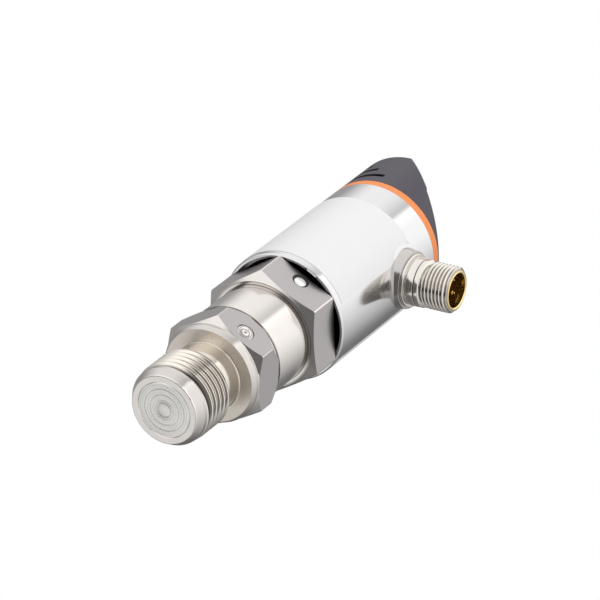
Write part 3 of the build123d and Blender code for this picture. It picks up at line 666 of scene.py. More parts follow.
class Shape:
    """A mesh in the making, in millimetres in the sensor's own frame."""

    MERGE = 1e-4
    ON_PLANE = 1e-5

    def __init__(self) -> None:
        """Start empty."""
        self.bm = bmesh.new()

    @classmethod
    def turned(cls, corners: Sequence[Corner], closed: bool = True, steps: int = 144) -> Shape:
        """Spin an outline about Z.

        Args:
            corners: the outline.
            closed: whether the outline is a ring, and not a line that ends on the axis.
            steps: number of spans in the spin.

        Returns:
            The turned shape.
        """
        made = cls()
        points = rounded(corners, closed)
        verts = [made.bm.verts.new(point) for point in points]
        pairs = list(zip(verts, verts[1:]))
        if closed:
            pairs.append((verts[-1], verts[0]))
        edges = [made.bm.edges.new(pair) for pair in pairs]
        bmesh.ops.spin(
            made.bm, geom=verts + edges, cent=(0, 0, 0), axis=(0, 0, 1), dvec=(0, 0, 0),
            angle=2 * pi, steps=steps, use_merge=True,
        )
        return made.merged()

    @classmethod
    def from_node(cls, node: str) -> Shape:
        """Copy a frame node's mesh and merge its loose triangles.

        Args:
            node: the node's name.

        Returns:
            The copied shape.
        """
        made = cls()
        made.bm.from_mesh(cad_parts[node].data)
        bmesh.ops.scale(made.bm, vec=(1 / MM,) * 3, verts=made.bm.verts)
        bmesh.ops.remove_doubles(made.bm, verts=made.bm.verts, dist=cls.MERGE)
        bmesh.ops.dissolve_degenerate(made.bm, edges=made.bm.edges, dist=cls.MERGE)
        return made

    def merged(self) -> Shape:
        """Merge doubled points and point the faces outwards."""
        bmesh.ops.remove_doubles(self.bm, verts=self.bm.verts, dist=self.MERGE)
        bmesh.ops.recalc_face_normals(self.bm, faces=self.bm.faces)
        return self

    def add(self, other: Shape) -> Shape:
        """Take another shape's mesh in.

        Args:
            other: the shape, which is used up.

        Returns:
            This shape.
        """
        held = bpy.data.meshes.new("held")
        other.bm.to_mesh(held)
        self.bm.from_mesh(held)
        bpy.data.meshes.remove(held)
        other.bm.free()
        return self

    def cut(self, spot: Vector, normal: Vector, fill: bool = True) -> list[bmesh.types.BMEdge]:
        """Cut away what lies on the normal's side of a plane.

        Args:
            spot: a point on the plane.
            normal: the plane's normal.
            fill: whether the cut gets a face.

        Returns:
            The cut's edges.
        """
        geom = [*self.bm.verts, *self.bm.edges, *self.bm.faces]
        cut = bmesh.ops.bisect_plane(
            self.bm, geom=geom, dist=self.ON_PLANE, plane_co=spot, plane_no=normal, clear_outer=True
        )
        edges = [part for part in cut["geom_cut"] if isinstance(part, bmesh.types.BMEdge)]
        if fill:
            bmesh.ops.edgeloop_fill(self.bm, edges=edges)
        return edges

    def trim_arc(self, start: float, end: float) -> Shape:
        """Cut away what lies between two angles about Z.

        Args:
            start: the first angle in degrees, where the shape has nothing.
            end: the angle in degrees where the shape goes on, with a closed face there.

        Returns:
            This shape.
        """
        turn = radians(end)
        geom = [*self.bm.verts, *self.bm.edges, *self.bm.faces]
        bmesh.ops.bisect_plane(
            self.bm, geom=geom, dist=self.ON_PLANE, plane_co=(0, 0, 0),
            plane_no=(sin(turn), -cos(turn), 0),
        )
        gone = [
            face for face in self.bm.faces
            if start < degrees(atan2(face.calc_center_median().y, face.calc_center_median().x)) < end
        ]
        bmesh.ops.delete(self.bm, geom=gone, context="FACES")
        open_edges = [edge for edge in self.bm.edges if edge.is_boundary]
        bmesh.ops.edgeloop_fill(self.bm, edges=open_edges)
        bmesh.ops.recalc_face_normals(self.bm, faces=self.bm.faces)
        return self

    def dissolve_flat(self, angle: float = 0.3) -> Shape:
        """Join triangles that lie in one plane.

        Args:
            angle: the largest turn between them, in degrees.

        Returns:
            This shape.
        """
        bmesh.ops.dissolve_limit(
            self.bm, angle_limit=radians(angle), verts=self.bm.verts, edges=self.bm.edges
        )
        return self

    def soften(
        self,
        width: float,
        where: Callable[[bmesh.types.BMEdge], bool] = lambda edge: True,
        min_angle: float = 25.0,
        segments: int = 2,
    ) -> Shape:
        """Bevel the sharp edges.

        Args:
            width: the bevel's width.
            where: says of an edge whether it is bevelled.
            min_angle: the least turn at an edge that counts as sharp, in degrees.
            segments: spans across the bevel.

        Returns:
            This shape.
        """
        edges = [
            edge for edge in self.bm.edges
            if len(edge.link_faces) == 2
            and edge.calc_face_angle() > radians(min_angle)
            and where(edge)
        ]
        bmesh.ops.bevel(
            self.bm, geom=edges, offset=width, offset_type="OFFSET", segments=segments,
            profile=0.5, affect="EDGES", clamp_overlap=True, material=-1,
        )
        return self

    def moved(self, matrix: Matrix) -> Shape:
        """Apply a transform to the mesh."""
        bmesh.ops.transform(self.bm, matrix=matrix, verts=self.bm.verts)
        return self

    def piece(
        self,
        name: str,
        material: bpy.types.Material,
        body: str,
        slot: str,
        replaces: Sequence[str] = (),
        sharp: float = 40.0,
    ) -> bpy.types.Object:
        """Turn the shape into a finished piece of the scene.

        Args:
            name: the piece's name.
            material: its material.
            body: the body that it rides on.
            slot: the record's material slot; not used.
            replaces: nodes that it stands for.
            sharp: turn at an edge above which the shading breaks, in degrees.

        Returns:
            The object.
        """
        bmesh.ops.scale(self.bm, vec=(MM,) * 3, verts=self.bm.verts)
        for face in self.bm.faces:
            face.smooth = True
        for edge in self.bm.edges:
            turn = edge.calc_face_angle(0) if len(edge.link_faces) == 2 else 0
            edge.smooth = turn < radians(sharp)
        mesh = bpy.data.meshes.new(name)
        self.bm.to_mesh(mesh)
        self.bm.free()
        mesh.materials.append(material)
        made = bpy.data.objects.new(name, mesh)
        bpy.context.scene.collection.objects.link(made)
        even = made.modifiers.new("even_normals", "WEIGHTED_NORMAL")
        even.mode = "FACE_AREA"
        even.keep_sharp = True
        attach(made, body)
        if replaces:
            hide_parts(*replaces)
        log.info("%s: %d faces", name, len(mesh.polygons))
        return made


@dataclass(frozen=True)
class Thread:
    """Screw thread on a straight sleeve about Z: rounded V turns, chamfered at both ends."""

    major_d: float
    pitch: float
    start: float
    end: float
    core_r: float
    half_angle: float
    tip_round: float
    chamfer: float

    def shape(self, steps: int = 120) -> Shape:
        """Build the sleeve with its turns.

        Args:
            steps: number of spans in a turn.

        Returns:
            A closed sleeve.
        """
        rise = self.pitch / 4 / tan(radians(self.half_angle))
        blunt = self.tip_round * (1 / sin(radians(self.half_angle)) - 1)
        pitch_r = self.major_d / 2 - (rise - blunt)
        low = self.start - self.pitch
        section = rounded([
            Corner(pitch_r, low),
            Corner(pitch_r + rise, low + self.pitch / 4, self.tip_round),
            Corner(pitch_r - rise, low + 3 * self.pitch / 4, self.tip_round),
            Corner(pitch_r, low + self.pitch),
        ], closed=False, steps=4)
        made = Shape()
        verts = [made.bm.verts.new(point) for point in section]
        edges = [made.bm.edges.new(pair) for pair in zip(verts, verts[1:])]
        turns = int((self.end - self.start) / self.pitch) + 3
        bmesh.ops.spin(
            made.bm, geom=verts + edges, cent=(0, 0, 0), axis=(0, 0, 1),
            dvec=(0, 0, self.pitch / steps), angle=2 * pi * turns, steps=steps * turns,
            use_merge=False,
        )
        bmesh.ops.remove_doubles(made.bm, verts=made.bm.verts, dist=1e-3)
        loops = [
            made.cut(Vector((0, 0, self.start)), Vector((0, 0, -1)), fill=False),
            made.cut(Vector((0, 0, self.end)), Vector((0, 0, 1)), fill=False),
        ]
        root = pitch_r - rise + blunt
        for vert in made.bm.verts:
            inset = min(vert.co.z - self.start, self.end - vert.co.z)
            limit = max(root, self.major_d / 2 - self.chamfer + inset)
            if hypot(vert.co.x, vert.co.y) > limit:
                set_radius(vert, limit)
        inner = []
        for loop in loops:
            live = [edge for edge in loop if edge.is_valid and len(edge.link_faces) == 1]
            grown = bmesh.ops.extrude_edge_only(made.bm, edges=live)["geom"]
            for vert in [part for part in grown if isinstance(part, bmesh.types.BMVert)]:
                set_radius(vert, self.core_r)
            inner += [
                part for part in grown
                if isinstance(part, bmesh.types.BMEdge) and part.is_boundary
            ]
        bmesh.ops.bridge_loops(made.bm, edges=inner)
        bmesh.ops.recalc_face_normals(made.bm, faces=made.bm.faces)
        return made


def span(node: str, axis: int) -> tuple[float, float]:
    """Lowest and highest coordinate of a frame node, in millimetres.

    Args:
        node: the node's name.
        axis: 0, 1 or 2.

    Returns:
        The two coordinates.
    """
    low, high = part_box(node)
    return low[axis] / MM, high[axis] / MM


def connector_height() -> float:
    """Height of the connector's axis along the sensor, in millimetres."""
    return sum(span("connector_shell", 2)) / 2


def set_radius(vert: bmesh.types.BMVert, radius: float) -> None:
    """Move a point straight out or in, to a distance from the Z axis."""
    share = radius / hypot(vert.co.x, vert.co.y)
    vert.co.x *= share
    vert.co.y *= share


def middle(edge: bmesh.types.BMEdge) -> Vector:
    """The middle of an edge."""
    return (edge.verts[0].co + edge.verts[1].co) / 2


def reach(edge: bmesh.types.BMEdge) -> float:
    """Distance of an edge's middle from the sensor's axis."""
    spot = middle(edge)
    return hypot(spot.x, spot.y)


def is_level(edge: bmesh.types.BMEdge) -> bool:
    """Whether both ends of an edge lie at one height."""
    return abs(edge.verts[0].co.z - edge.verts[1].co.z) < 1e-3


def along_x(height: float) -> Matrix:
    """Turn a shape that was built about Z so that its axis is the connector's."""
    return Matrix.Translation((0, 0, height)) @ Matrix.Rotation(pi / 2, 4, "Y")


# Sub-assemblies


@dataclass
class ProcessEnd:
    """Threaded fitting with its foil diaphragm and fill plug.

    Edges further out than bevel_beyond_r are rounded, and the values named tone, root, seat and
    joint bound the parts of the surface with a colour laid over the steel: painted light on the
    thread and the seat face, and painted shade on the nose, undercut, collar, thread roots and neck
    joint.
    """

    thread_d: float = 20.955
    thread_pitch: float = 1.814
    thread_length: float = 11.0
    thread_half_angle: float = 27.5
    thread_round: float = 0.249
    thread_chamfer: float = 1.0
    root_depth: float = 0.35
    root_fade: float = 0.7
    nose_length: float = 3.1
    nose_tone_r: float = 9.1
    core_r: float = 8.5
    core_overlap: float = 0.5
    collar_length: float = 2.1
    bevel_beyond_r: float = 12.0
    seat_half: float = 0.03
    flats: float = 26.0
    flats_end: float = 11.4
    flats_angle: float = -56.3
    joint_tone_end: float = 13.0
    joint_tone_r: float = 12.95
    plug_z: float = 6.1
    plug_lines: Sequence[tuple[float, float]] = ((0.2, 0.24), (1.1, 0.17), (1.65, 0.13), (2.2, 0.2))
    body: str = "process_unit"
    foil_r: float = 7.2
    foil_rim_r: float = 6.6
    foil_t: float = 0.5
    wave_width: float = 0.5
    wave_steps: int = 8
    foil_lines: Sequence[tuple[float, float]] = (
        (1.85, 0.05), (2.5, 0.03), (3.2, 0.014), (4.0, 0.028), (4.7, 0.014), (5.5, 0.032), (6.2, 0.014),
    )

    def build(self) -> None:
        """Build and dress the fitting, the foil and the plug."""
        self.build_fitting()
        self.build_foil()
        self.build_plug()

    def build_fitting(self) -> None:
        """The fitting: the frame's own form with real thread turns."""
        face = span("process_fitting", 2)[0]
        start = face + self.nose_length
        end = start + self.thread_length
        nose = Shape.from_node("process_fitting").dissolve_flat()
        rear = Shape.from_node("process_fitting").dissolve_flat()
        nose.cut(Vector((0, 0, start)), Vector((0, 0, 1)))
        rear.cut(Vector((0, 0, end)), Vector((0, 0, -1)))
        hexagon_rear = self.flats_end + 0.1
        rear.soften(0.14, lambda edge: (
            reach(edge) > self.bevel_beyond_r and middle(edge).z < hexagon_rear and is_level(edge)
        ))
        nose.soften(0.12, lambda edge: reach(edge) > self.core_r - 0.5 and middle(edge).z < start - 0.1)
        core = Shape.turned([
            Corner(0, start - self.core_overlap),
            Corner(self.core_r + 0.1, start - self.core_overlap),
            Corner(self.core_r + 0.1, end + self.core_overlap),
            Corner(0, end + self.core_overlap),
        ], closed=False)
        thread = Thread(
            self.thread_d, self.thread_pitch, start, end, self.core_r,
            self.thread_half_angle, self.thread_round, self.thread_chamfer,
        )
        whole = nose.add(rear).add(core).add(thread.shape())
        root_r = self.thread_d / 2 - self.root_depth
        seat = self.seat_half
        # Lighter and darker copies of the steel: painted light on the thread and the seat face, painted
        # shade on the nose, undercut and collar, and in the thread roots and the neck joint.
        zones = (
            Zone(face + 0.1, start, self.nose_tone_r, FAR, SHADED_NOSE_AND_COLLAR_STEEL),
            Zone(start, end, 0, FAR, LIT_THREAD_STEEL),
            Zone(end, seat, 0, FAR, SHADED_UNDERCUT_STEEL),
            Zone(seat, self.collar_length, 0, FAR, SHADED_NOSE_AND_COLLAR_STEEL),
            Zone(-seat, seat, 0, FAR, LIT_SATIN_STEEL, roughness=0.4),
            Zone(start, end, 0, root_r, ROOT_SHADE, self.root_fade),
            Zone(self.flats_end - 0.1, self.joint_tone_end, 0, self.joint_tone_r, DARK_RING_SHADE, 0.1),
        )
        finish = MilledSteel(
            "turned_fitting", STEEL, SHADED_FLAT_STEEL, self.flats / 2, self.collar_length, self.flats_end,
            self.flats_angle, roughness=0.11, zones=zones,
        )
        whole.piece(
            "fitting", finish.material(), self.body, "steel_turned", ["process_fitting"], sharp=16
        )

    def build_foil(self) -> None:
        """The foil: flat, with shallow ring waves that are cut in from its face.

        Each of its lines is the radius and the depth of a wave.
        """
        face = span("process_diaphragm", 2)[0]
        top = [Corner(0, face)]
        for place, depth in self.foil_lines:
            for step in range(self.wave_steps + 1):
                share = step / self.wave_steps
                wave = (1 - cos(2 * pi * share)) / 2
                top.append(Corner(place + self.wave_width * (share - 0.5), face + 0.02 + depth * wave))
        top += [
            Corner(self.foil_rim_r, face + 0.05),
            Corner(self.foil_r - 0.12, face + 0.03),
            Corner(self.foil_r, face + 0.14),
            Corner(self.foil_r, face + self.foil_t),
            Corner(0, face + self.foil_t),
        ]
        finish = TurnedSteel(
            "rolled_foil", (0.89, 0.87, 0.83), 0.3, lines_per_mm=4.0, line_height=0.0006, patch=0.03
        )
        Shape.turned(top, closed=False).piece(
            "foil", finish.material(), self.body, "steel_foil", ["process_diaphragm"]
        )

    def build_plug(self) -> None:
        """The fill plug with its turned rings."""
        plug = Shape.from_node("fill_plug").dissolve_flat()
        finish = RingedSteel(
            "plug_steel", (0.80, 0.76, 0.74), self.flats_angle, self.plug_z, self.plug_lines
        )
        plug.piece("oil_plug", finish.material(), self.body, "steel_plug", ["fill_plug"])


@dataclass
class SensorBase:
    """Neck, large hexagon and the vent in its flat.

    Edges further out than bevel_beyond_r are rounded. The front rings are dark lines of painted
    shade, by radius.
    """

    flats: float = 29.4
    flats_angle: float = -61.4
    neck_length: float = 13.8
    bevel_beyond_r: float = 13.6
    rear_gap: float = 0.3
    shade_length: float = 3.5
    front_rings: Sequence[float] = (13.2, 13.9)
    ring_width: float = 0.16
    body: str = "process_unit"

    def build(self) -> None:
        """Build and dress the base and its vent."""
        low = span("sensor_base", 2)[0]
        rear = span("housing_tube", 2)[0]
        base = Shape.from_node("sensor_base").dissolve_flat()
        base.soften(0.14, lambda edge: (
            reach(edge) > self.bevel_beyond_r and middle(edge).z < rear and is_level(edge)
        ))
        front = low + self.neck_length
        # Painted shade: a near black band behind the hexagon and dark lines at the front rings.
        shade = Zone(rear - self.rear_gap + 0.02, rear + self.shade_length, 0, FAR, DEEP_SHADE)
        rings = [
            Zone(front - 0.2, front + 0.3, place, place + self.ring_width, DARK_RING_SHADE)
            for place in self.front_rings
        ]
        finish = MilledSteel(
            "turned_base", STEEL, SHADED_FLAT_STEEL, self.flats / 2, front, rear - self.rear_gap,
            self.flats_angle, roughness=0.17, zones=(shade, *rings),
        )
        base.piece(
            "neck_and_hexagon", finish.material(), self.body, "steel_turned", ["sensor_base"], sharp=16
        )
        black = Moulded("vent_rubber", (0.02, 0.02, 0.02), 0.5)
        bright = TurnedSteel("vent_bright", (0.96, 0.96, 0.96), 0.3, metallic=0.3)
        ring = Shape.from_node("vent_seal").dissolve_flat()
        ring.piece("vent_ring", black.material(), self.body, "vent_black", ["vent_seal"])
        disc = Shape.from_node("vent_disc").dissolve_flat()
        disc.piece("vent_button", bright.material(), self.body, "vent_steel", ["vent_disc"])


@dataclass
class Housing:
    """Polished tube with the saddle at the connector's foot, and the bare label.

    The bare angle lies in the strip without a label, which ends at the label's start.
    """

    tube_r: float = 17.0
    wall: float = 0.95
    rim_bevel: float = 0.35
    boss_r: float = 7.4
    boss_colour: Colour = (0.52, 0.50, 0.485)
    saddle_r: float = 7.95
    saddle_bore_r: float = 6.0
    saddle_sink: float = 0.2
    bare_angle: float = 20.0
    label_start: float = 34.0
    body: str = "housing"

    def build(self) -> None:
        """Build and dress the tube and the label."""
        front, rear = span("housing_tube", 2)
        bore_r = self.tube_r - self.wall
        tube = Shape.turned([
            Corner(bore_r, front),
            Corner(self.tube_r - self.rim_bevel, front, 0.08),
            Corner(self.tube_r, front + self.rim_bevel, 0.15),
            Corner(self.tube_r, rear),
            Corner(bore_r, rear),
        ], steps=192)
        tube.add(self.saddle(connector_height()))
        inside = Zone(front - 1, rear + 1, 0, bore_r + 0.1, DEEP_SHADE)
        boss = Zone(front, rear, self.tube_r + 0.03, FAR, self.boss_colour)
        finish = TurnedSteel("tube_polish", (0.68, 0.672, 0.675), 0.14, lines_per_mm=3.0,
                             line_height=0.0004, patch=0.03, zones=(inside, boss))
        tube.piece("tube", finish.material(), self.body, "tube_steel", ["housing_tube"])
        film = LabelFilm("label_film", (0.885, 0.885, 0.89))
        label = Shape.from_node("label_wrap").trim_arc(self.bare_angle, self.label_start)
        label.piece("label", film.material(), self.body, "label_white", ["label_wrap"])

    def saddle(self, height: float) -> Shape:
        """Sloping foot that follows the tube and rises to the connector's seat.

        It is turned with heights from 0 at the tube to 1 at the seat, and then laid on the tube.

        Args:
            height: the connector's height on the tube.

        Returns:
            A closed shape.
        """
        seat = span("housing_tube", 0)[1]
        made = Shape.turned([
            Corner(self.saddle_bore_r, -self.saddle_sink),
            Corner(self.saddle_r, -self.saddle_sink),
            Corner(self.boss_r, 1.0, 0.12),
            Corner(self.saddle_bore_r, 1.0),
        ], steps=128)
        for vert in made.bm.verts:
            y, z, rise = vert.co
            foot = (self.tube_r ** 2 - y ** 2) ** 0.5
            vert.co = Vector((foot + (seat - foot) * rise, y, z + height))
        return made.merged()


@dataclass
class SideConnector:
    """Threaded shell, gold sleeve, insert and contacts, about the X axis."""

    thread_d: float = 12.0
    thread_pitch: float = 1.0
    thread_length: float = 7.3
    sleeve_d: float = 12.4
    flange_d: float = 13.8
    flange_t: float = 0.8
    step_width: float = 0.35
    step_depth: float = 0.15
    seam_at: float = 21.3
    seam_half: float = 0.15
    seam_depth: float = 0.3
    thread_depth: float = 0.75
    run_out: float = 0.75
    bore_r: float = 5.12
    tail_r: float = 5.5
    mouth_bevel: float = 0.45
    mouth_lip: float = 0.35
    # Painted shade in the thread roots.
    thread_root_shade: Colour = (0.40, 0.37, 0.33)
    body: str = "housing"

    def build(self) -> None:
        """Build and dress the connector's pieces."""
        tail, mouth = span("connector_shell", 0)
        self.build_shell(tail, span("housing_tube", 0)[1], mouth)
        gold = TurnedSteel("gold_plate", GOLD, 0.2, Axis.CONNECTOR, patch=0.06)
        liner = Shape.from_node("connector_liner").dissolve_flat()
        liner.soften(0.08, lambda edge: middle(edge).x > mouth - 0.2)
        liner.piece("gold_sleeve", gold.material(), self.body, "contact_gold", ["connector_liner"])
        pins = Shape.from_node("connector_pins").dissolve_flat()
        pins.soften(0.1, lambda edge: middle(edge).x > mouth - 3)
        pins.piece("contacts", gold.material(), self.body, "contact_gold", ["connector_pins"])
        brown = Moulded("insert_brown", (0.055, 0.03, 0.02), 0.5)
        insert = Shape.from_node("connector_insert").dissolve_flat()
        insert.piece("insert", brown.material(), self.body, "insert_brown", ["connector_insert"])

    def build_shell(self, tail: float, foot: float, mouth: float) -> None:
        """The shell with its flange, seam and thread.

        Args:
            tail: where the shell starts inside the tube.
            foot: where the flange sits.
            mouth: where the shell ends.
        """
        start = mouth - self.thread_length
        sleeve_r = self.sleeve_d / 2
        front_r = sleeve_r - 0.05
        flange_r = self.flange_d / 2
        top = foot + self.flange_t
        core = self.thread_d / 2 - self.thread_depth
        shell = Shape.turned([
            Corner(self.bore_r, tail),
            Corner(self.tail_r, tail),
            Corner(self.tail_r, foot),
            Corner(flange_r, foot, 0.15),
            Corner(flange_r, top, 0.2),
            Corner(sleeve_r - self.step_depth, top, 0.1),
            Corner(sleeve_r - self.step_depth, top + self.step_width, 0.05),
            Corner(sleeve_r, top + self.step_width + 0.1, 0.08),
            Corner(sleeve_r, self.seam_at - self.seam_half, 0.08),
            Corner(sleeve_r - self.seam_depth, self.seam_at),
            Corner(front_r, self.seam_at + self.seam_half, 0.08),
            Corner(front_r, start - self.run_out, 0.15),
            Corner(core, start - 0.2),
            Corner(core, mouth - self.mouth_bevel),
            Corner(self.bore_r + self.mouth_lip, mouth, 0.1),
            Corner(self.bore_r, mouth, 0.05),
        ])
        thread = Thread(
            self.thread_d, self.thread_pitch, start, mouth - 0.05, core - 0.1,
            half_angle=30, tip_round=0.1, chamfer=0.55,
        )
        shell.add(thread.shape(96)).moved(along_x(connector_height()))
        # Painted shade in the thread roots and in the seam's groove.
        roots = Zone(start, mouth, 0, self.thread_d / 2 - 0.15, self.thread_root_shade, 0.4)
        seam = Zone(self.seam_at - 0.12, self.seam_at + 0.12, 0, front_r, DARK_RING_SHADE, 0.1)
        finish = TurnedSteel("nickel_plate", NICKEL, 0.13, Axis.CONNECTOR, patch=0.07,
                             zones=(roots, seam))
        shell.piece(
            "threaded_shell", finish.material(), self.body, "connector_nickel", ["connector_shell"]
        )


@dataclass
class Head:
    """Dark head with grip grooves, its orange ring, and the display face."""

    body: str = "housing"
    groove_r: float = 16.8
    ring_bevel_r: float = 16.5
    buttons: Sequence[str] = ("left", "middle", "right")

    def build(self) -> None:
        """Build and dress the head's pieces."""
        dark = Moulded("head_plastic", (0.052, 0.045, 0.062), 0.45, grain_per_mm=7.0,
                        groove_r=self.groove_r)
        cap = Shape.from_node("head_cap").dissolve_flat()
        cap.piece("cap", dark.material(), self.body, "head_plastic", ["head_cap"])
        orange = Moulded("ring_orange", (0.96, 0.30, 0.085), 0.5, mottle=0.02, grain_height=0.001)
        ring = Shape.from_node("orange_ring").dissolve_flat()
        ring.soften(0.12, lambda edge: reach(edge) > self.ring_bevel_r)
        ring.piece("signal_ring", orange.material(), self.body, "ring_orange", ["orange_ring"])
        pane = Moulded("window_gloss", (0.03, 0.022, 0.026), 0.08, grain_height=0.0, coat=1.0)
        window = Shape.from_node("display_window").dissolve_flat()
        window.soften(0.15)
        window.piece("window", pane.material(), self.body, "window_dark", ["display_window"])
        soft = Moulded("button_plastic", (0.16, 0.15, 0.17), 0.5)
        for side in self.buttons:
            key = Shape.from_node(f"button_{side}").dissolve_flat()
            key.soften(0.12)
            key.piece(f"{side}_key", soft.material(), f"{side}_button", "button_plastic",
                      [f"button_{side}"])


class InnerPieces:
    """Finishes of the pieces that stay as the frame has them."""

    def dress(self) -> None:
        """Give every kept node its material."""
        rubber = Moulded("seal_rubber", (0.03, 0.03, 0.035), 0.55)
        steel = TurnedSteel("inner_steel", (0.62, 0.60, 0.59), 0.3)
        nut = TurnedSteel("nut_nickel", NICKEL, 0.25, Axis.CONNECTOR)
        board = BoardResist("board_resist", (0.02, 0.16, 0.06), (0.10, 0.32, 0.12))
        black = Moulded("chip_plastic", (0.03, 0.03, 0.033), 0.4)
        grey = Moulded("carrier_plastic", (0.16, 0.16, 0.18), 0.5)
        screen = Moulded("display_plastic", (0.04, 0.035, 0.04), 0.2, coat=0.5)
        milky = Moulded("light_plastic", (0.75, 0.78, 0.74), 0.3, coat=0.3)
        plan = {
            rubber: ("cell_seal", "swivel_seal_front", "swivel_seal_rear", "connector_seal",
                     "head_seal"),
            steel: ("pressure_cell", "cell_retainer", "snap_ring", "stop_ring", "stop_pin"),
            nut: ("connector_nut",),
            board: ("cell_board", "display_board", "main_board"),
            black: ("board_chips", "button_switches"),
            grey: ("board_carrier",),
            screen: ("display_module",),
            milky: ("status_leds",),
        }
        for finish, nodes in plan.items():
            material = finish.material()
            for node in nodes:
                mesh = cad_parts[node].data
                mesh.materials.clear()
                mesh.materials.append(material)


# Studio


@dataclass(frozen=True)
class Panel:
    """Bright or dark wall of the studio, as polished metal sees it, by its angles in degrees."""

    start: float
    rise: float
    end: float
    fall: float
    level: float

    def level_at(self, angle: Signal) -> Signal:
        """Brightness that the panel adds in a direction.

        Args:
            angle: the direction's angle about the sensor's axis, in degrees.

        Returns:
            The added brightness.
        """
        begun = angle.above(self.start, self.start + self.rise)
        return self.level * begun * (1 - angle.above(self.end, self.end + self.fall))


@dataclass(frozen=True)
class Lamp:
    """Square soft lamp: its place and side in millimetres, and its power in watts."""

    name: str
    place: tuple[float, float, float]
    side: float
    watts: float


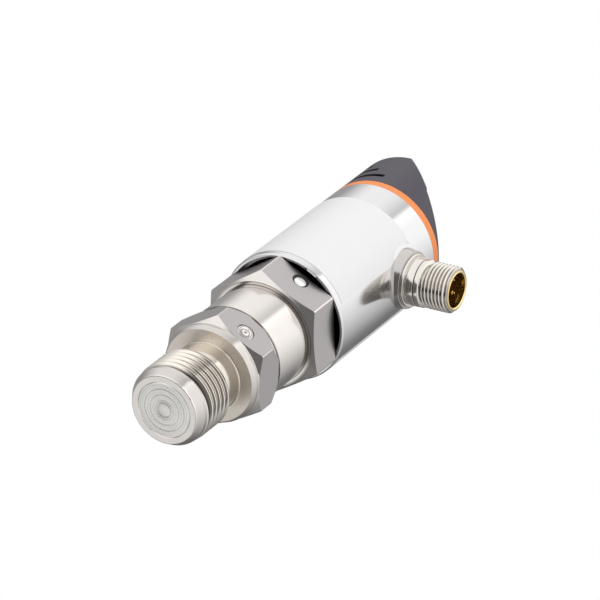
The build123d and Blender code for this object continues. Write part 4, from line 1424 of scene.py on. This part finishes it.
@dataclass
class Studio:
    """Camera, lamps, world and floor."""

    lens: float = 282.0
    target: Vector = field(default_factory=lambda: Vector((0, 0, 36.6)))
    right: Vector = field(default_factory=lambda: Vector((0.864, 0.019, 0.5025)))
    up: Vector = field(default_factory=lambda: Vector((-0.207, -0.897, 0.390)))
    distance: float = 1160.0
    shift: tuple[float, float] = (3.70, 3.95)
    dusk: float = 0.40
    panels: Sequence[Panel] = (
        Panel(-185.0, 58.0, -101.0, 68.0, 0.84),
        Panel(-66.0, 10.0, -22.0, 110.0, 0.98),
        Panel(50.0, 50.0, 125.0, 40.0, -0.2),
    )
    lamps: Sequence[Lamp] = (
        Lamp("key", (150, -700, 380), 600, 1.9),
        Lamp("fill", (600, -250, -350), 500, 0.7),
    )
    matte_level: float = 0.72
    near_level: float = 1.15
    near_edge: tuple[float, float] = (-0.13, -0.03)
    gap_level: float = 0.10
    far_level: float = 0.84
    far_edge: tuple[float, float] = (0.18, 0.36)
    side_level: float = 0.18
    side_edge: tuple[float, float] = (-0.25, 0.15)
    horizon: tuple[float, float] = (-0.72, -0.6)
    floor_z: float = -1250.0
    floor_size: float = 9000.0
    floor_grey: float = 0.85
    floor_glow: float = 0.95
    floor_share: float = 0.6

    def build(self) -> None:
        """Set the whole studio up."""
        self.build_camera()
        self.build_world()
        self.build_floor()
        for lamp in self.lamps:
            self.build_lamp(lamp)
        bpy.context.scene.view_settings.view_transform = "Standard"

    def build_camera(self) -> None:
        """Camera at the photographed angle."""
        right = self.right.normalized()
        up = (self.up - right * self.up.dot(right)).normalized()
        back = right.cross(up)
        place = self.target + right * self.shift[0] + up * self.shift[1] + back * self.distance
        data = bpy.data.cameras.new("camera")
        data.lens = self.lens
        data.sensor_width = 36.0
        data.clip_start = 0.01
        data.clip_end = 100.0
        camera = bpy.data.objects.new("camera", data)
        turn = Matrix((right, up, back)).transposed().to_4x4()
        camera.matrix_world = Matrix.Translation(place * MM) @ turn
        bpy.context.scene.collection.objects.link(camera)
        bpy.context.scene.camera = camera

    def build_lamp(self, plan: Lamp) -> None:
        """Add a lamp that faces the sensor and isn't seen in polished metal."""
        data = bpy.data.lights.new(plan.name, "AREA")
        data.shape = "SQUARE"
        data.size = plan.side * MM
        data.energy = plan.watts
        lamp = bpy.data.objects.new(plan.name, data)
        lamp.visible_glossy = False
        place = Vector(plan.place)
        turn = (self.target - place).normalized().to_track_quat("-Z", "Y").to_matrix().to_4x4()
        lamp.matrix_world = Matrix.Translation(place * MM) @ turn
        bpy.context.scene.collection.objects.link(lamp)

    def build_world(self) -> None:
        """World: white to the camera, an even grey to matte surfaces, a studio to polished ones."""
        world = bpy.data.worlds.new("studio")
        world.use_nodes = True
        bpy.context.scene.world = world
        graph = Graph(world.node_tree)
        way = graph.add("ShaderNodeTexCoord", output="Generated")
        level = self.reflected_level(graph, *graph.parts(way))
        camera, glossy, through = graph.rays("Is Camera Ray", "Is Glossy Ray", "Is Transmission Ray")
        white = graph.maths("MAXIMUM", camera, through)
        strength = self.matte_level * (1 - white) * (1 - glossy) + white + level * glossy
        sky = graph.add("ShaderNodeBackground", None, {"Color": rgba((1, 1, 1)), "Strength": strength})
        graph.add("ShaderNodeOutputWorld", None, {"Surface": sky})

    def reflected_level(self, graph: Graph, x: Signal, y: Signal, z: Signal) -> Signal:
        """Brightness that polished metal sees in each direction.

        Above the horizon it is the ring of panels, and below it what lies under the sensor: a near
        side, a gap, a far side, and a darker part to one side.

        Args:
            graph: the world's graph.
            x: first part of the direction.
            y: second part of the direction.
            z: third part of the direction.

        Returns:
            The brightness.
        """
        angle = graph.maths("ARCTAN2", y, x) * (180 / pi)
        ring = self.dusk
        for panel in self.panels:
            ring = panel.level_at(angle) + ring
        near = self.near_level * y.below(*self.near_edge) + self.gap_level
        near = near + self.far_level * y.above(*self.far_edge)
        side = x.above(*self.side_edge)
        under = near * (1 - side) + self.side_level * side
        upper = z.above(*self.horizon)
        return ring * upper + under * (1 - upper)

    def build_floor(self) -> None:
        """Pale floor far below, white to the camera and still able to take a shadow."""
        material = bpy.data.materials.new("floor")
        material.use_nodes = True
        graph = Graph(material.node_tree)
        grey = rgba((self.floor_grey,) * 3)
        matte = graph.add("ShaderNodeBsdfDiffuse", None, {"Color": grey})
        light = {"Color": rgba((1, 1, 1)), "Strength": self.floor_glow}
        glow = graph.add("ShaderNodeEmission", None, light)
        seen = graph.maths("MAXIMUM", *graph.rays("Is Camera Ray", "Is Transmission Ray"))
        both = graph.add("ShaderNodeMixShader", None, [seen * self.floor_share, matte, glow])
        graph.add("ShaderNodeOutputMaterial", None, {"Surface": both})
        bm = bmesh.new()
        bmesh.ops.create_grid(bm, x_segments=1, y_segments=1, size=self.floor_size * MM / 2)
        bmesh.ops.translate(bm, vec=(0, 0, self.floor_z * MM), verts=bm.verts)
        mesh = bpy.data.meshes.new("floor")
        bm.to_mesh(mesh)
        bm.free()
        mesh.materials.append(material)
        floor = bpy.data.objects.new("floor", mesh)
        floor.visible_glossy = False
        bpy.context.scene.collection.objects.link(floor)


def corners(box: tuple[Vector, Vector]) -> list[list[float]]:
    """A box's two corners as plain lists."""
    return [list(map(float, corner)) for corner in box]


def main() -> None:
    """Build the object and its studio."""
    logging.basicConfig(level=logging.INFO, format="%(name)s %(message)s")
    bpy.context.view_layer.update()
    for part in (ProcessEnd(), SensorBase(), Housing(), SideConnector(), Head(), Studio()):
        log.info("building %s", type(part).__name__)
        part.build()
    InnerPieces().dress()
    bpy.context.view_layer.update()


if __name__ == "__main__":
    main()
